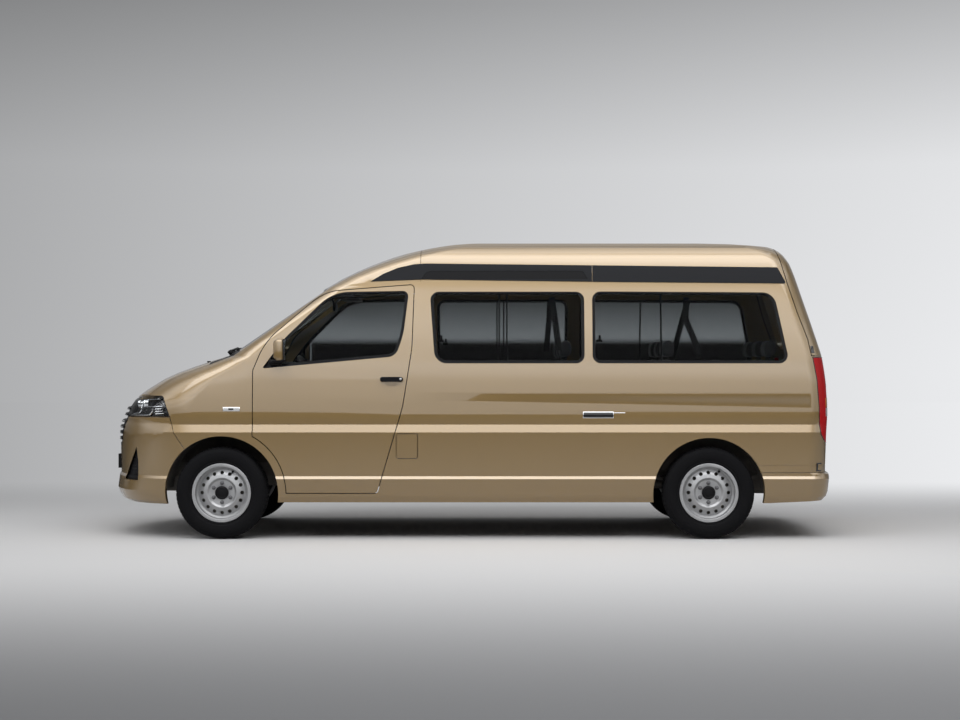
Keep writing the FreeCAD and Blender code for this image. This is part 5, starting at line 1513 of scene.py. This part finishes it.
made = {}
for name in ("front_seats", "rear_seats"):
    for number, (points, faces) in enumerate(loose_parts(name)):
        low, high = spread_of(points)
        kind = tuple(round(v, 2) for v in high - low)
        middle = (low + high) / 2
        if kind not in made:
            made[kind] = (blown_up(points, faces, 0.012), middle)
            soft = made[kind][0]
        else:
            model, first_middle = made[kind]
            only(model)
            bpy.ops.object.duplicate(linked=False)
            soft = bpy.context.active_object
            soft.data.transform(Matrix.Translation(middle - first_middle))
        fitted(soft, name + "_cushion_" + str(number), "chassis", fabric, 60)
        if number == 0:
            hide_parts(name)
    print(name, "cushions:", number + 1, "kinds so far:", len(made))

# %% [markdown]
# ## Belts and the driver's place
#
# The rear belts hang from the roof edge beside the windows, run through a ring and go down to the
# seats. Those of the two sides together show through the glass as a slim upturned V. Each strap
# is a flat band. The dashboard gets its vents, knobs and a plain screen, set on the surface that a ray finds.

# %% Belts
webbing = material("Belt webbing", (0.012, 0.012, 0.013), 0.8, mottled=0.1, grained=0.5,
                   grain_scale=900, Specular_IOR_Level=0.2)
BELTS = {
    -1: [((0.589, 1.706), (0.611, 1.555), (0.640, 1.330)),
         ((1.550, 1.706), (1.538, 1.555), (1.645, 1.290))],
    1: [((0.632, 1.730), (0.627, 1.590), (0.606, 1.330)),
        ((1.725, 1.730), (1.685, 1.590), (1.603, 1.262))],
}
BELT_WIDTH = 0.044


def wall_at(z):
    """How far the inner trim is from the middle of the vehicle at a height."""
    return 0.735 + (1.555 - z) * 0.13


def strap(start, end, way):
    """A flat band between two places given as x and z beside the window."""
    a = Vector((start[0], way * wall_at(start[1]), start[1]))
    b = Vector((end[0], way * wall_at(end[1]), end[1]))
    side = (b - a).cross(Vector((0, 1, 0))).normalized() * BELT_WIDTH / 2
    flat = from_points([a - side, a + side, b + side, b - side], faces=[(0, 1, 2, 3)])
    return facing_out(apply_modifier(flat, "SOLIDIFY", thickness=0.0016, offset=0.0))


straps = []
rings = []
for way, belts in BELTS.items():
    for top, ring, foot in belts:
        straps.append(strap(top, ring, way))
        straps.append(strap(ring, foot, way))
        x, z = ring
        middle = Vector((x, way * wall_at(z), z))
        rings.append(drum(middle - Vector((0, 0.006, 0)), middle + Vector((0, 0.006, 0)), 0.024, 0.003,
                          28))
fitted(joined(straps), "belt_straps", "chassis", webbing)
fitted(joined(rings), "belt_rings", "chassis", black_plastic, 40)

# %% Mirror, visors, screen, vents and lever
inside = [block((-1.020, -0.120, 1.628), (-0.998, 0.120, 1.692), 0.009, 3),
          drum((-1.015, 0, 1.680), (-1.035, 0, 1.735), 0.008, 0.002, 16)]
fitted(joined(inside), "inner_mirror", "chassis", black_plastic, 40)
visors = [block((-0.985, way * 0.455 - 0.19, 1.722), (-0.845, way * 0.455 + 0.19, 1.738), 0.007, 3)
          for way in (-1, 1)]
fitted(joined(visors), "sun_visors", "chassis", cabin_light, 40)
dash_tree = search_tree("dashboard")


def on_dash(y, z):
    return dash_tree.ray_cast(Vector((-0.80, y, z)), Vector((-1, 0, 0)))[0]


def on_dash_block(y0, y1, z0, z1, proud, bevel):
    hit = on_dash((y0 + y1) / 2, (z0 + z1) / 2)
    return block((hit.x - 0.012, y0, z0), (hit.x + proud, y1, z1), bevel, 3)


screen = on_dash_block(-0.115, 0.115, 1.085, 1.205, 0.010, 0.005)
fitted(screen, "dash_screen", "chassis", gloss_black, 40)
vents = []
for middle in (-0.66, -0.155, 0.155, 0.66):
    hit = on_dash(middle, 1.16)
    for number in range(5):
        z = 1.128 + 0.016 * number
        vents.append(block((hit.x - 0.010, middle - 0.032, z), (hit.x + 0.006, middle + 0.032, z + 0.006),
                           0.002, 1))
    vents.append(tube([Vector((hit.x + 0.003, middle + dy, z)) for dy, z in
                       ((-0.037, 1.120), (0.037, 1.120), (0.037, 1.206), (-0.037, 1.206))],
                      0.003, closed=True, sides=1, handles="POLY"))
fitted(joined(vents), "dash_vents", "chassis", black_plastic, 40)
knobs = []
for y in (-0.075, 0.0, 0.075):
    hit = on_dash(y, 1.035)
    knobs.append(drum(hit - Vector((0.004, 0, 0)), hit + Vector((0.020, 0, 0)), 0.019, 0.003, 28))
fitted(joined(knobs), "dash_knobs", "chassis", black_plastic, 40)
hit = on_dash(0.0, 0.93)
lever = [tube([hit + Vector((-0.01, 0, 0)), hit + Vector((0.06, 0, 0.05)), hit + Vector((0.075, 0, 0.15))],
              0.007, sides=2),
         drum(hit + Vector((0.072, 0, 0.135)), hit + Vector((0.079, 0, 0.190)), 0.021, 0.010, 28)]
fitted(joined(lever), "gear_lever", "chassis", black_plastic, 50)
print("cabin dressed")

# %% The size of what was made
bpy.context.view_layer.update()
low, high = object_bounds()
